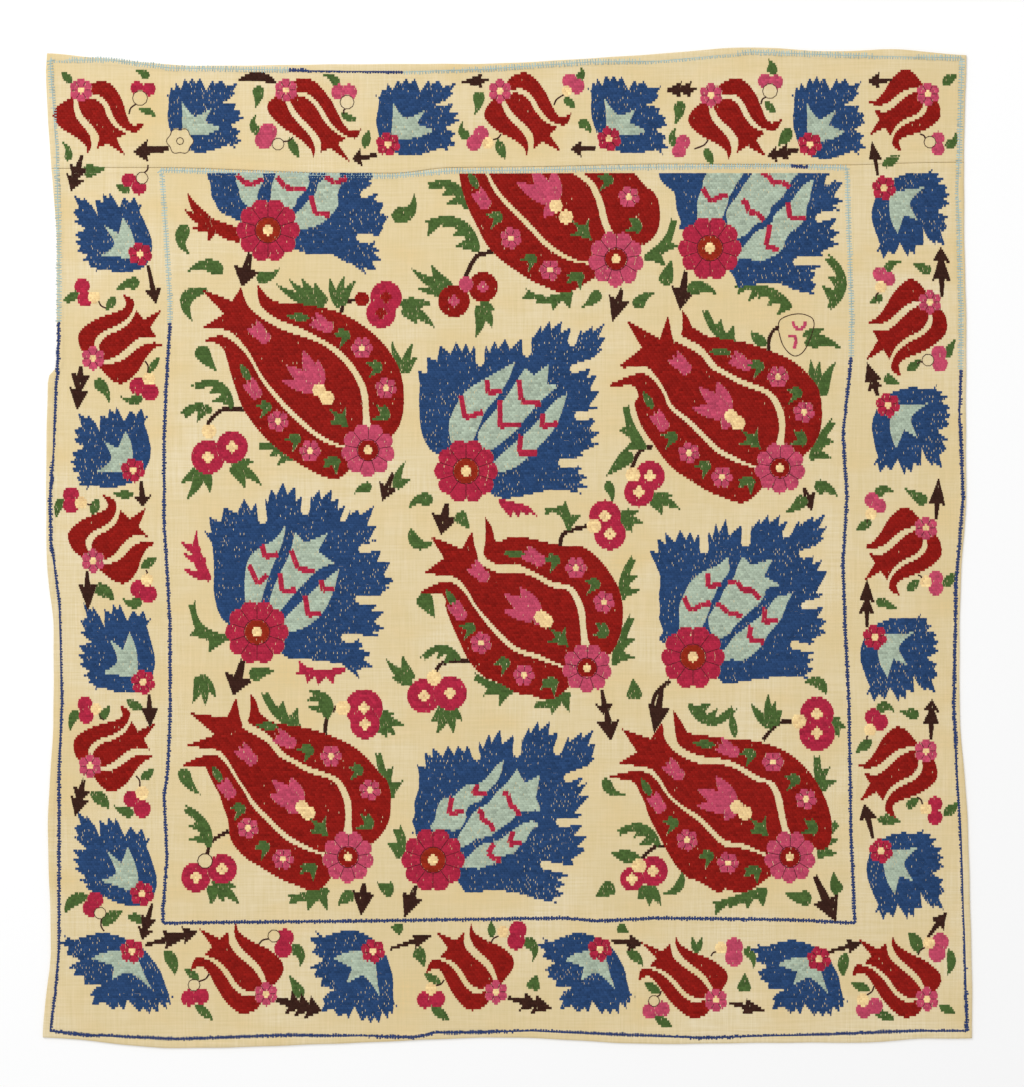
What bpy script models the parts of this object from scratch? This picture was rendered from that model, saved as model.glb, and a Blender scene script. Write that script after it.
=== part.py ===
"""Embroidered wrapping cloth lying flat, face up: a top band and a main cloth of linen.

The origin is under the middle of the cloth, on the surface it lies on.
+X runs to the right of the cloth, +Y to its top edge and +Z up through its face.
"""
import math
from collections import namedtuple

import bmesh
import bpy

MM = 0.001

# Driving dimensions
LINEN_THICKNESS = 1.5 * MM      # linen and its embroidery, pressed flat
HEM_RISE = 0.7 * MM             # the turned hem is three layers of linen
SEAM_RISE = 0.4 * MM            # the seam allowance folded under each panel
HEM_WIDTH = 6.0 * MM
EDGE_ROUNDING = 2.5 * MM        # width of the slope from a hem down to the face
SEAM_GAP = 0.3 * MM
CELL_ACROSS = 25.0 * MM
CELL_ALONG = 25.0 * MM
SMALLEST_CELL = 5.0 * MM

LINEN_COLOUR = (0.80, 0.68, 0.46, 1.0)
LINEN_ROUGHNESS = 0.85

# Outline of the laid cloth in millimetres: each edge is a smooth line through its points
EdgePoint = namedtuple("EdgePoint", "x y")
TOP_EDGE = [EdgePoint(*row) for row in (
    (-502, 539), (-444, 534), (-335, 525), (-183, 527), (-52, 527), (101, 534),
    (166, 538), (267, 545.5), (358, 541), (418, 543), (500, 537),
)]
BOTTOM_EDGE = [EdgePoint(*row) for row in (
    (-506, -534), (-361, -545.5), (-183, -541), (-10, -534), (155, -541),
    (267, -540), (378, -540), (452, -535), (506, -535),
)]
LEFT_EDGE = [EdgePoint(*row) for row in (
    (-506.3, -534), (-498, -435), (-501, -314), (-495, -177), (-495, -90), (-502, -14),
    (-503, 88), (-501, 184), (-491, 199), (-491, 317), (-499, 433), (-503, 518), (-502, 539),
)]
RIGHT_EDGE = [EdgePoint(*row) for row in (
    (506, -535), (506.3, -488), (504, -364), (501, -289), (493, -172), (493, -86),
    (495, -16), (500, 54), (500, 101), (500, 227), (498, 344), (498, 433), (500, 537),
)]
# Line of the seam between the top band and the main cloth
SEAM_LINE = [EdgePoint(*row) for row in (
    (-503, 413), (-431, 414), (-379, 414), (-183, 408), (-124, 408), (-65, 414),
    (30, 415), (166, 418), (369, 417), (433, 419), (500, 420),
)]

# Low cockles that are left in the linen: lengths, direction and height of each wave
Cockle = namedtuple("Cockle", "wave_length turned_degrees shift height")
COCKLES = [
    Cockle(0.310, 12.0, 0.4, 0.20 * MM),
    Cockle(0.190, 78.0, 1.7, 0.16 * MM),
    Cockle(0.125, 140.0, 2.9, 0.10 * MM),
]


def line_value(points, place):
    """Value at a place of the smooth line through (place, value) points, never past its points."""
    places = [point[0] for point in points]
    if place <= places[0]:
        return points[0][1]
    if place >= places[-1]:
        return points[-1][1]
    after = next(i for i, known in enumerate(places) if known > place)
    before = after - 1
    step = places[after] - places[before]
    share = (place - places[before]) / step
    rise = points[after][1] - points[before][1]
    start_slope, end_slope = slope_at(points, before), slope_at(points, after)
    return (points[before][1]
            + rise * share * share * (3 - 2 * share)
            + start_slope * step * share * (1 - share) ** 2
            - end_slope * step * share * share * (1 - share))


def slope_at(points, index):
    """Slope of the smooth line at a point, level where the line turns back."""
    if index in (0, len(points) - 1):
        return 0.0
    (x0, y0), (x1, y1), (x2, y2) = points[index - 1:index + 2]
    left, right = (y1 - y0) / (x1 - x0), (y2 - y1) / (x2 - x1)
    if left * right <= 0:
        return 0.0
    return 2 * left * right / (left + right)


def level_line(points):
    """An edge that runs across, as a function from x to y in metres."""
    rows = [(point.x * MM, point.y * MM) for point in points]
    return lambda x: line_value(rows, x)


def upright_line(points):
    """An edge that runs up the cloth, as a function from y to x in metres."""
    rows = [(point.y * MM, point.x * MM) for point in points]
    return lambda y: line_value(rows, y)


def stations(length, cell, kept=()):
    """Places from 0 to length for the grid lines: the hems, the kept places and even cells."""
    fixed = [0.0, HEM_WIDTH, HEM_WIDTH + EDGE_ROUNDING]
    fixed += [length - place for place in reversed(fixed)]
    inner = [place for place in kept
             if all(abs(place - other) > SMALLEST_CELL for other in fixed)]
    chosen = []
    for place in sorted(inner):
        if not chosen or place - chosen[-1] > SMALLEST_CELL:
            chosen.append(place)
    lines = sorted(fixed + chosen)
    filled = [lines[0]]
    for start, end in zip(lines, lines[1:]):
        cells = max(1, math.ceil((end - start) / cell - 0.01))
        filled += [start + (end - start) * i / cells for i in range(1, cells + 1)]
    return filled


def cockle_height(x, y):
    """How far the cockles lift the face at a place, never below the linen's thickness."""
    lift = 0.0
    for wave in COCKLES:
        turned = math.radians(wave.turned_degrees)
        along = x * math.cos(turned) + y * math.sin(turned)
        lift += wave.height * (1 + math.sin(math.tau * along / wave.wave_length + wave.shift)) / 2
    return lift


def rim_rise(distance, rise):
    """Extra thickness at a distance from an edge: full on the hem, then a short slope."""
    share = (distance - HEM_WIDTH) / EDGE_ROUNDING
    return rise * min(1.0, max(0.0, 1.0 - share))


def linen_material(name):
    material = bpy.data.materials.new(name)
    material.use_nodes = True
    shader = material.node_tree.nodes["Principled BSDF"]
    shader.inputs["Base Color"].default_value = LINEN_COLOUR
    shader.inputs["Roughness"].default_value = LINEN_ROUGHNESS
    shader.inputs["Metallic"].default_value = 0.0
    return material


def make_panel(name, lower, upper, lower_rise, upper_rise, collection):
    """One panel of linen between two edges that run across, with a flat underside at z = 0."""
    left, right = upright_line(LEFT_EDGE), upright_line(RIGHT_EDGE)
    floor_y, height = lower(0.0), upper(0.0) - lower(0.0)
    kept_rows = [point.y * MM - floor_y for point in LEFT_EDGE + RIGHT_EDGE
                 if 0 < point.y * MM - floor_y < height]
    columns = stations(right(0.0) - left(0.0), CELL_ACROSS)
    rows = stations(height, CELL_ALONG, kept_rows)

    bm = bmesh.new()
    bmesh.ops.create_grid(bm, x_segments=len(columns) - 1, y_segments=len(rows) - 1, size=0.5)
    for vert in bm.verts:
        column = round((vert.co.x + 0.5) * (len(columns) - 1))
        row = round((vert.co.y + 0.5) * (len(rows) - 1))
        across, up = columns[column] / columns[-1], rows[row] / rows[-1]
        near_x = (across - 0.5) * columns[-1]
        low, high = lower(near_x), upper(near_x)
        y = low + (high - low) * up
        x = left(y) + (right(y) - left(y)) * across
        rise = max(
            rim_rise(columns[column], HEM_RISE),
            rim_rise(columns[-1] - columns[column], HEM_RISE),
            rim_rise(rows[row], lower_rise),
            rim_rise(rows[-1] - rows[row], upper_rise),
        )
        vert.co = (x, y, LINEN_THICKNESS + cockle_height(x, y) + rise)

    lowered = bmesh.ops.extrude_face_region(bm, geom=bm.faces[:], use_keep_orig=True)["geom"]
    for item in lowered:
        if isinstance(item, bmesh.types.BMVert):
            item.co.z = 0.0
    underside = [item for item in lowered if isinstance(item, bmesh.types.BMFace)]
    bmesh.ops.dissolve_faces(bm, faces=underside)
    bmesh.ops.recalc_face_normals(bm, faces=bm.faces[:])

    mesh = bpy.data.meshes.new(name)
    bm.to_mesh(mesh)
    bm.free()
    panel = bpy.data.objects.new(name, mesh)
    panel.data.materials.append(linen_material(name + "_linen"))
    collection.objects.link(panel)
    return panel


def main():
    for old in list(bpy.data.objects):
        bpy.data.objects.remove(old, do_unlink=True)
    collection = bpy.data.collections.new("wrapping_cloth")
    bpy.context.scene.collection.children.link(collection)

    seam = level_line(SEAM_LINE)
    make_panel("top_band", lambda x: seam(x) + SEAM_GAP / 2, level_line(TOP_EDGE),
               SEAM_RISE, HEM_RISE, collection)
    make_panel("main_cloth", level_line(BOTTOM_EDGE), lambda x: seam(x) - SEAM_GAP / 2,
               HEM_RISE, SEAM_RISE, collection)


if __name__ == "__main__":
    main()
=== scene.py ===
"""Embroidered wrapping cloth: two linen panels, silk darning in nine colours and stitched frames.

Drawn shapes are in layout steps of 1.09 mm, x to the right and y down from the sheet's corner,
and a motif's own shapes are in steps from the middle of its rosette, x to the right and y up.
"""
import math
import random
from collections import namedtuple

import bmesh
import bpy
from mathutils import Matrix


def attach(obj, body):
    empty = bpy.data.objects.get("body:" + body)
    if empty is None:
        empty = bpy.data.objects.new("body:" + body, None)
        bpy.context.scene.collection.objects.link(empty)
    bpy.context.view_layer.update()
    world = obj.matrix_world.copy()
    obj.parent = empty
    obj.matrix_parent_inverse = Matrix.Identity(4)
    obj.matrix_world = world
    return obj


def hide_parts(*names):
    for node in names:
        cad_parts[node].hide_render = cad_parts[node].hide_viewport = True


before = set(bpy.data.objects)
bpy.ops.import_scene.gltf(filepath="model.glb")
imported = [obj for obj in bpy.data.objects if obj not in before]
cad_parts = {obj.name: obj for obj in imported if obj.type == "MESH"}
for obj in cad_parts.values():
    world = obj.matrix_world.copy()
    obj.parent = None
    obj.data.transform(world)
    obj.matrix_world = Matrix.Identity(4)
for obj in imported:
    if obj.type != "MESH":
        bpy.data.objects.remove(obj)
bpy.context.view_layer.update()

bl_info = {
    "name": "Embroidered wrapping cloth",
    "version": (1, 0, 0),
    "blender": (4, 5, 0),
    "location": "View3D > Sidebar > Cloth",
    "description": "Linen panels with silk darning, laid flat",
    "category": "Object",
}

MM = 0.001
STEP = 1.09 * MM                 # one layout step on the cloth
MIDDLE_COLUMN = 507.5            # layout step at the middle of the cloth
MIDDLE_ROW = 547.5
ROLLED_RIM = 0.4 * MM            # the rim of a hem rolls over this far in from its edge
RIM_SHOULDER = 1.6 * MM          # width of the rounded rim, and of the slope inside the hem
RIM_DROP = 0.45 * MM             # how far the rolled rim lies below the hem
SEAM_DROP = 0.12 * MM            # the same at the seam
UNDERSIDE = 0.05 * MM            # height of the linen's lower face
SEAM_GAP = 0.15 * MM             # from the seam to each panel's edge
PULLED_STRIP = 30 * MM           # strip along an edge that the hem's sewing pulls
PULL = 0.45 * MM
FRAME_PITCH = 2.6                # from stitch to stitch along a frame, in layout steps
CORD_PITCH = 5.0                 # the same for the frame's long thread
BRICK_SHIFT = 0.382              # share of a stitch that each row is shifted by
SHORTEST_RUN = 0.7               # shorter runs of a row stay bare, in layout steps
SHORTEST_STITCH = 0.5
OUTLINE_LIFT = 0.22 * MM         # fine outlines lie on the silk
CORD_LIFT = 0.06 * MM            # the frame's long thread lies on its short stitches
CAMERA_PLACE = (4.9 * MM, 4.4 * MM, 2.7995)
FRAME_TOP = 173.0                # layout row of the inner frame, which cuts the top flowers off
FIELD_COLUMNS = (172, 846)       # layout steps between the sides of the inner frame
FIELD_ROWS = (172, 920)

# Outline of the laid cloth in millimetres, the same lines as the solids
EdgePoint = namedtuple("EdgePoint", "x y")
TOP_EDGE = [EdgePoint(*row) for row in (
    (-502, 539), (-444, 534), (-335, 525), (-183, 527), (-52, 527), (101, 534),
    (166, 538), (267, 545.5), (358, 541), (418, 543), (500, 537),
)]
BOTTOM_EDGE = [EdgePoint(*row) for row in (
    (-506, -534), (-361, -545.5), (-183, -541), (-10, -534), (155, -541),
    (267, -540), (378, -540), (452, -535), (506, -535),
)]
LEFT_EDGE = [EdgePoint(*row) for row in (
    (-506.3, -534), (-498, -435), (-501, -314), (-495, -177), (-495, -90), (-502, -14),
    (-503, 88), (-501, 184), (-491, 199), (-491, 317), (-499, 433), (-503, 518), (-502, 539),
)]
RIGHT_EDGE = [EdgePoint(*row) for row in (
    (506, -535), (506.3, -488), (504, -364), (501, -289), (493, -172), (493, -86),
    (495, -16), (500, 54), (500, 101), (500, 227), (498, 344), (498, 433), (500, 537),
)]
SEAM_LINE = [EdgePoint(*row) for row in (
    (-503, 413), (-431, 414), (-379, 414), (-183, 408), (-124, 408), (-65, 414),
    (30, 415), (166, 418), (369, 417), (433, 419), (500, 420),
)]

# Low waves of the laid cloth
Cockle = namedtuple("Cockle", "wave_length turned_degrees shift height")
COCKLES = [
    Cockle(0.310, 12.0, 0.4, 0.20 * MM),
    Cockle(0.190, 78.0, 1.7, 0.16 * MM),
    Cockle(0.125, 140.0, 2.9, 0.10 * MM),
]

# Outlines in layout steps: a sharp knot is a corner, and the line runs smoothly through the others
Knot = namedtuple("Knot", "x y sharp")


def knots(*rows):
    """A shape from its rows of x, y and whether the knot is sharp."""
    return [Knot(*row) for row in rows]


TULIP_UPPER = knots(
    (-111, 166, 1), (-94, 149, 0), (-61, 145, 0), (-25, 136, 0), (9, 113, 0), (31, 82, 0),
    (36, 48, 0), (30, 22, 0), (12, 4, 1), (2, 29, 0), (-2, 63, 0), (-25, 97, 0),
    (-63, 120, 0), (-92, 132, 0), (-108, 146, 0),
)
TULIP_CENTRE = knots(
    (-127, 163, 1), (-136, 149, 1), (-167, 161, 1), (-144, 136, 1), (-165, 123, 1),
    (-139, 119, 0), (-121, 101, 0), (-104, 72, 0), (-76, 40, 0), (-47, 15, 0), (-22, 4, 0),
    (-8, 10, 1), (-5, 29, 0), (-8, 60, 0), (-22, 85, 0), (-47, 106, 0), (-85, 120, 0),
    (-108, 133, 0), (-121, 146, 0),
)
TULIP_LOWER = knots(
    (-165, 110, 1), (-145, 114, 0), (-123, 97, 0), (-105, 67, 0), (-79, 36, 0), (-48, 10, 0),
    (-24, 1, 0), (-8, -8, 1), (-29, -28, 0), (-52, -23, 0), (-94, 4, 0), (-123, 38, 0),
    (-135, 69, 0), (-146, 103, 0),
)
SMALL_TULIP_UPPER = knots(
    (8, 68, 1), (15, 57, 0), (10, 51, 0), (-12, 41, 0), (-25, 27, 0), (-19, 11, 0), (-6, 2, 0),
    (-1, 4, 1), (-7, 19, 0), (-1, 29, 0), (13, 37, 0), (22, 47, 0), (22, 61, 0),
)
SMALL_TULIP_CENTRE = knots(
    (27, 52, 1), (37, 43, 1), (53, 54, 1), (46, 35, 1), (56, 25, 1), (42, 26, 0), (33, 20, 0),
    (21, 6, 0), (8, 0, 0), (2, 4, 1), (-1, 16, 0), (4, 25, 0), (15, 31, 0), (24, 40, 0),
)
SMALL_TULIP_LOWER = knots(
    (66, 17, 1), (55, 20, 0), (42, 16, 0), (27, 1, 0), (12, -4, 0), (2, -4, 1), (9, -10, 0),
    (24, -21, 0), (35, -22, 0), (45, -11, 0), (50, 4, 0), (57, 15, 0),
)

# Serrated outline of the blue flowers: the tooth tips of each lobe, then the notch after it
Lobe = namedtuple("Lobe", "tips notch")
FAN_LOBES = (
    Lobe(((-54, 100), (-49, 114), (-34, 124), (-14, 132), (-2, 129)), (5, 107)),
    Lobe(((7, 133), (13, 142), (25, 149), (37, 145), (44, 135)), (47, 116)),
    Lobe(((53, 139), (61, 141), (74, 142), (81, 133), (88, 126)), (84, 109)),
    Lobe(((93, 123), (100, 122), (116, 125), (118, 104), (119, 91)), (100, 81)),
    Lobe(((123, 80), (133, 70), (137, 51), (132, 44), (130, 37)), (97, 32)),
    Lobe(((119, 26), (126, 19), (127, 2), (120, -4), (112, -7)), (83, -6)),
    Lobe(((101, -8), (107, -14), (114, -23), (115, -36), (102, -48)), (84, -33)),
)
FAN_BASE = knots(
    (84, -33, 0), (59, -29, 0), (31, -27, 0), (12, -12, 0), (-12, 0, 0), (-27, 5, 0),
    (-38, 16, 0), (-44, 37, 0), (-44, 65, 0), (-46, 88, 0),
)
SQUARE_LOBES = (
    Lobe(((-49, 99), (-40, 113), (-27, 125), (-11, 128), (-1, 127), (7, 124)), (13, 104)),
    Lobe(((19, 125), (28, 129), (38, 131), (54, 131)), (60, 113)),
    Lobe(((66, 137), (74, 144), (83, 149), (95, 149), (103, 142)), (104, 124)),
    Lobe(((115, 142), (126, 144), (138, 147), (139, 133), (137, 122), (126, 112)), (103, 100)),
    Lobe(((124, 102), (130, 95), (133, 79), (131, 62)), (107, 54)),
    Lobe(((129, 50), (133, 38), (132, 26), (117, 14)), (91, 7)),
    Lobe(((117, 3), (121, -7), (121, -17), (115, -24), (106, -21)), (93, -20)),
)
SQUARE_BASE = knots(
    (93, -20, 0), (77, -21, 0), (50, -27, 0), (37, -28, 0), (26, -25, 0), (0, 0, 0),
    (-28, 15, 0), (-37, 21, 0), (-43, 31, 0), (-47, 46, 0), (-48, 74, 0), (-47, 85, 0),
)
SMALL_BLUE_LOBES = (
    Lobe(((-45, -20), (-51, -13), (-56, -8)), (-49, -3)),
    Lobe(((-60, 1), (-61, 9), (-60, 17)), (-47, 23)),
    Lobe(((-59, 30), (-58, 39), (-55, 56), (-45, 54), (-39, 50)), (-33, 38)),
    Lobe(((-33, 54), (-24, 60), (-17, 62)), (-9, 48)),
    Lobe(((-3, 59), (8, 61), (16, 55)), (11, 47)),
)
SMALL_BLUE_BASE = knots(
    (11, 47, 0), (16, 33, 0), (19, 20, 0), (17, 8, 0), (8, -7, 0), (-8, -14, 0),
    (-20, -16, 0), (-32, -15, 0), (-41, -15, 0),
)
FAN_AQUA = (
    knots((28, 107, 1), (17, 92, 0), (0, 82, 0), (-9, 73, 0), (-13, 55, 0), (-12, 28, 0),
          (0, 14, 1), (5, 37, 0), (15, 66, 0), (24, 87, 0)),
    knots((37, 99, 1), (47, 88, 1), (70, 98, 1), (60, 80, 1), (76, 68, 1), (60, 61, 0),
          (39, 40, 0), (22, 20, 0), (10, 10, 1), (12, 32, 0), (20, 54, 0), (31, 76, 0)),
    knots((81, 62, 1), (66, 50, 0), (45, 31, 0), (27, 13, 0), (14, 0, 1), (36, 0, 0),
          (51, 6, 0), (66, 20, 0), (76, 42, 0)),
)
SQUARE_AQUA = (
    knots((48, 108, 1), (23, 94, 0), (-2, 78, 0), (-16, 54, 0), (-18, 41, 0), (-15, 26, 0),
          (-4, 14, 1), (8, 34, 0), (18, 58, 0), (31, 74, 0), (42, 92, 0)),
    knots((58, 102, 1), (67, 95, 1), (82, 106, 1), (80, 86, 1), (92, 84, 1), (77, 72, 0),
          (64, 58, 0), (46, 37, 0), (26, 21, 0), (14, 14, 1), (11, 33, 0), (15, 44, 0),
          (37, 70, 0), (49, 88, 0)),
    knots((100, 76, 1), (93, 53, 0), (84, 37, 0), (57, 9, 0), (44, 1, 0), (30, -3, 0),
          (14, -4, 1), (37, 18, 0), (64, 42, 0), (88, 69, 0)),
)
SMALL_AQUA = knots(
    (-7, 39, 1), (-14, 22, 1), (-28, 29, 1), (-20, 13, 0), (-26, 5, 0), (-37, -2, 1),
    (-24, -1, 0), (-10, -1, 0), (0, 0, 1), (1, 15, 0), (-1, 27, 0),
)
THREE_POINT_LEAF = knots(
    (-12, 8, 1), (-4, 4, 0), (2, 2, 1), (6, 10, 1), (6, -2, 0), (9, -12, 1), (-2, -9, 0),
    (-13, -7, 1), (-5, -2, 0),
)

# Where the parts of a big tulip lie in each of its six sewings, from its rosette
Anchor = namedtuple("Anchor", "part drawn second third fourth fifth top")
TULIP_ANCHORS = [Anchor(*row) for row in (
    ("upper tip", (-111, 166), (-98, 158), (-102, 151), (-98, 164), (-117, 147), (-125, 190)),
    ("first point", (-127, 163), (-112, 153), (-115, 137), (-112, 160), (-128, 135), (-145, 185)),
    ("first valley", (-136, 149), (-120, 129), (-125, 119), (-121, 139), (-139, 118), (-150, 160)),
    ("second point", (-167, 161), (-154, 148), (-157, 132), (-158, 144), (-168, 128), (-190, 170)),
    ("second valley", (-144, 136), (-138, 120), (-143, 110), (-133, 122), (-153, 105), (-165, 140)),
    ("third point", (-165, 123), (-162, 101), (-163, 95), (-161, 112), (-171, 94), (-195, 135)),
    ("lower tip", (-165, 110), (-173, 83), (-168, 76), (-167, 92), (-182, 80), (-200, 120)),
    ("upper back", (-61, 145), (-62, 130), (-65, 131), (-66, 133), (-75, 120), (-45, 125)),
    ("upper shoulder", (12, 110), (27, 95), (12, 109), (20, 98), (14, 91), (20, 84)),
    ("upper side", (36, 52), (42, 55), (36, 55), (43, 55), (42, 28), (44, 45)),
    ("foot", (-40, -27), (-45, -33), (-45, -30), (-40, -32), (-55, -34), (-58, -32)),
    ("lower back", (-100, 12), (-108, 3), (-108, -2), (-106, 5), (-107, -14), (-120, 6)),
    ("belly", (-72, -12), (-78, -20), (-78, -21), (-75, -18), (-79, -32), (-91, -18)),
    ("lower side", (-130, 55), (-142, 52), (-138, 52), (-125, 53), (-143, 48), (-150, 58)),
    ("far upper gap", (-92, 127), (-92, 124), (-97, 102), (-94, 126), (-104, 102), (-85, 120)),
    ("upper gap", (-47, 109), (-55, 95), (-50, 92), (-55, 96), (-52, 90), (-58, 98)),
    ("near upper gap", (-5, 61), (0, 56), (-7, 62), (-2, 60), (-12, 60), (-16, 56)),
    ("far lower gap", (-122, 99), (-122, 86), (-122, 78), (-122, 96), (-132, 78), (-135, 95)),
    ("lower gap", (-78, 38), (-82, 37), (-86, 31), (-83, 40), (-84, 31), (-92, 38)),
    ("near lower gap", (-36, 7), (-36, 5), (-36, 6), (-36, 7), (-36, 7), (-45, 0)),
    ("rosette", (0, 0), (0, 0), (0, 0), (0, 0), (0, 0), (0, 0)),
)]

# Where the parts of the square blue flower lie in each of its four sewings, and those of the fan
BlueAnchor = namedtuple("BlueAnchor", "part drawn second third top")
SQUARE_ANCHORS = [BlueAnchor(*row) for row in (
    ("first lobe", (-49, 99), (-45, 106), (-17, 94), (-60, 90)),
    ("first lobe top", (-11, 128), (-14, 126), (14, 113), (-14, 120)),
    ("first notch", (13, 104), (10, 102), (43, 98), (8, 100)),
    ("second lobe", (38, 131), (32, 137), (66, 130), (34, 130)),
    ("second notch", (60, 113), (52, 109), (83, 102), (60, 110)),
    ("third lobe", (89, 149), (80, 141), (110, 138), (90, 140)),
    ("third notch", (104, 124), (91, 118), (122, 104), (104, 118)),
    ("corner", (138, 147), (132, 143), (160, 130), (140, 130)),
    ("below the corner", (126, 112), (121, 110), (154, 93), (128, 74)),
    ("fourth notch", (103, 100), (105, 101), (130, 80), (114, 63)),
    ("fourth lobe", (133, 79), (134, 86), (156, 64), (132, 46)),
    ("fifth notch", (107, 54), (107, 50), (122, 37), (104, 28)),
    ("fifth lobe", (133, 38), (134, 36), (154, 23), (129, 15)),
    ("below the fifth lobe", (117, 14), (122, 13), (141, -5), (113, -9)),
    ("sixth notch", (91, 7), (96, 11), (106, -6), (82, -15)),
    ("last lobe", (121, -12), (120, -8), (131, -30), (105, -32)),
    ("last point", (106, -21), (108, -21), (114, -42), (98, -46)),
    ("foot", (50, -27), (45, -26), (45, -33), (36, -39)),
    ("left foot", (-28, 15), (-30, 13), (-20, 25), (-27, 16)),
    ("left side", (-43, 31), (-33, 31), (-20, 32), (-32, 31)),
    ("left middle", (-47, 50), (-34, 50), (-19, 50), (-35, 48)),
    ("left top", (-48, 74), (-34, 74), (-15, 76), (-52, 74)),
    ("left petal tip", (48, 108), (35, 99), (70, 99), (50, 112)),
    ("left petal back", (-16, 54), (-13, 55), (4, 53), (-12, 51)),
    ("left petal bend", (-2, 78), (-1, 77), (24, 67), (-2, 76)),
    ("left petal rise", (23, 94), (24, 91), (46, 76), (26, 96)),
    ("left petal foot", (-4, 14), (-4, 14), (4, 24), (-4, 14)),
    ("left petal inside", (18, 58), (18, 56), (33, 50), (19, 52)),
    ("left petal inner rise", (31, 74), (27, 73), (50, 63), (29, 68)),
    ("centre first point", (58, 102), (49, 100), (83, 90), (60, 100)),
    ("centre first valley", (67, 95), (57, 91), (91, 76), (68, 95)),
    ("centre second point", (82, 106), (79, 97), (106, 84), (90, 104)),
    ("centre second valley", (80, 86), (70, 80), (102, 61), (84, 86)),
    ("centre third point", (92, 84), (86, 71), (107, 49), (97, 78)),
    ("centre right", (64, 58), (66, 54), (80, 41), (70, 49)),
    ("centre low right", (46, 37), (49, 38), (62, 27), (56, 30)),
    ("centre foot", (26, 21), (35, 22), (38, 17), (36, 13)),
    ("centre left", (15, 44), (18, 45), (34, 38), (19, 42)),
    ("centre left rise", (37, 70), (33, 70), (58, 60), (35, 65)),
    ("right petal tip", (100, 76), (98, 63), (104, 36), (103, 68)),
    ("right petal side", (93, 53), (91, 47), (93, 21), (98, 46)),
    ("right petal bend", (84, 37), (84, 33), (84, 11), (92, 25)),
    ("right petal back", (57, 9), (62, 4), (62, -3), (68, -6)),
    ("right petal low", (44, 1), (50, -4), (48, -9), (52, -14)),
    ("right petal foot", (30, -3), (34, -4), (36, -8), (33, -12)),
    ("right petal inside", (64, 42), (66, 40), (66, 19), (66, 35)),
    ("right petal inner foot", (37, 18), (40, 20), (42, 11), (42, 13)),
)]
FanAnchor = namedtuple("FanAnchor", "part drawn top")
FAN_ANCHORS = [FanAnchor(*row) for row in (
    ("left top", (-44, 65), (-62, 60)), ("left side", (-44, 37), (-58, 37)),
    ("left bend", (-38, 16), (-51, 20)), ("left foot", (-27, 5), (-34, 10)),
    ("foot", (12, -12), (14, -14)), ("under the foot", (31, -27), (33, -23)),
    ("underside", (59, -29), (59, -25)), ("underside end", (84, -33), (82, -34)),
    ("below the fifth lobe", (130, 37), (102, 47)), ("fifth notch", (97, 32), (91, 35)),
    ("sixth lobe", (119, 26), (110, 36)), ("sixth lobe second point", (126, 19), (115, 25)),
    ("sixth lobe third point", (127, 2), (120, 14)), ("sixth lobe fourth", (120, -4), (115, 4)),
    ("below the sixth lobe", (112, -7), (114, -7)), ("sixth notch", (83, -6), (87, -8)),
    ("last lobe", (101, -8), (106, -12)), ("last lobe second point", (107, -14), (111, -22)),
    ("last lobe third point", (114, -23), (112, -31)), ("last point", (115, -36), (108, -42)),
    ("last end", (102, -48), (98, -46)), ("left petal back", (-13, 55), (-33, 52)),
    ("left petal low", (-12, 28), (-29, 32)), ("left petal inside", (5, 37), (-12, 35)),
    ("left petal inner rise", (15, 66), (-6, 62)), ("centre left", (12, 32), (2, 32)),
    ("centre left rise", (20, 54), (5, 50)), ("centre right", (39, 40), (36, 38)),
    ("centre right rise", (60, 61), (45, 60)), ("centre low right", (22, 20), (25, 22)),
    ("right petal tip", (81, 62), (68, 84)), ("right petal inside", (66, 50), (52, 48)),
    ("right petal inner bend", (45, 31), (40, 29)), ("right petal inner foot", (27, 13), (28, 17)),
    ("right petal side", (76, 42), (72, 44)), ("right petal bend", (66, 20), (67, 20)),
    ("right petal back", (51, 6), (53, 6)), ("right petal foot", (36, 0), (35, 0)),
)]

# Crimson marks on the aqua petals, from the middle of the rosette
SQUARE_HOOKS = (
    ((20, 90), (21, 77), (35, 79)), ((-6, 74), (-2, 52), (16, 58)), ((52, 91), (54, 69), (74, 66)),
    ((33, 69), (33, 44), (54, 46)), ((76, 57), (75, 43), (91, 47)), ((54, 35), (52, 17), (70, 17)),
)
FAN_HOOKS = (
    ((4, 86), (7, 74), (20, 77)), ((-9, 66), (0, 47), (9, 56)), ((33, 81), (40, 62), (57, 60)),
    ((22, 58), (24, 40), (38, 41)), ((63, 51), (65, 41), (76, 43)), ((47, 36), (50, 16), (63, 18)),
)
ZIGZAGS = (
    ((-10, 59), (-5, 48), (-1, 46), (7, 51), (17, 53)), ((14, 83), (14, 69), (27, 72)),
    ((34, 73), (43, 74), (49, 66), (58, 66), (66, 57)),
    ((22, 51), (27, 51), (34, 43), (40, 43), (48, 39)), ((71, 48), (70, 34), (84, 36)),
    ((57, 30), (55, 17), (70, 14)),
)
BENT_ZIGZAGS = (
    ((44, 74), (39, 65), (53, 66)), ((18, 62), (15, 45), (30, 48)),
    ((69, 67), (74, 64), (77, 53), (83, 50), (85, 43)),
    ((44, 49), (48, 47), (48, 39), (56, 36), (60, 28)), ((79, 27), (75, 15), (88, 16)),
    ((60, 15), (54, 6), (62, -1), (67, -1)),
)
RIGHT_SCALLOPS = (
    ((-8, 59), (-3, 49), (1, 46), (8, 50), (17, 52)),
    ((50, 74), (57, 72), (62, 64), (71, 65), (79, 60)),
    ((30, 45), (35, 46), (38, 35), (46, 34), (53, 27)), ((77, 44), (79, 29), (95, 29)),
    ((59, 22), (55, 1), (68, -3)),
)
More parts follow.
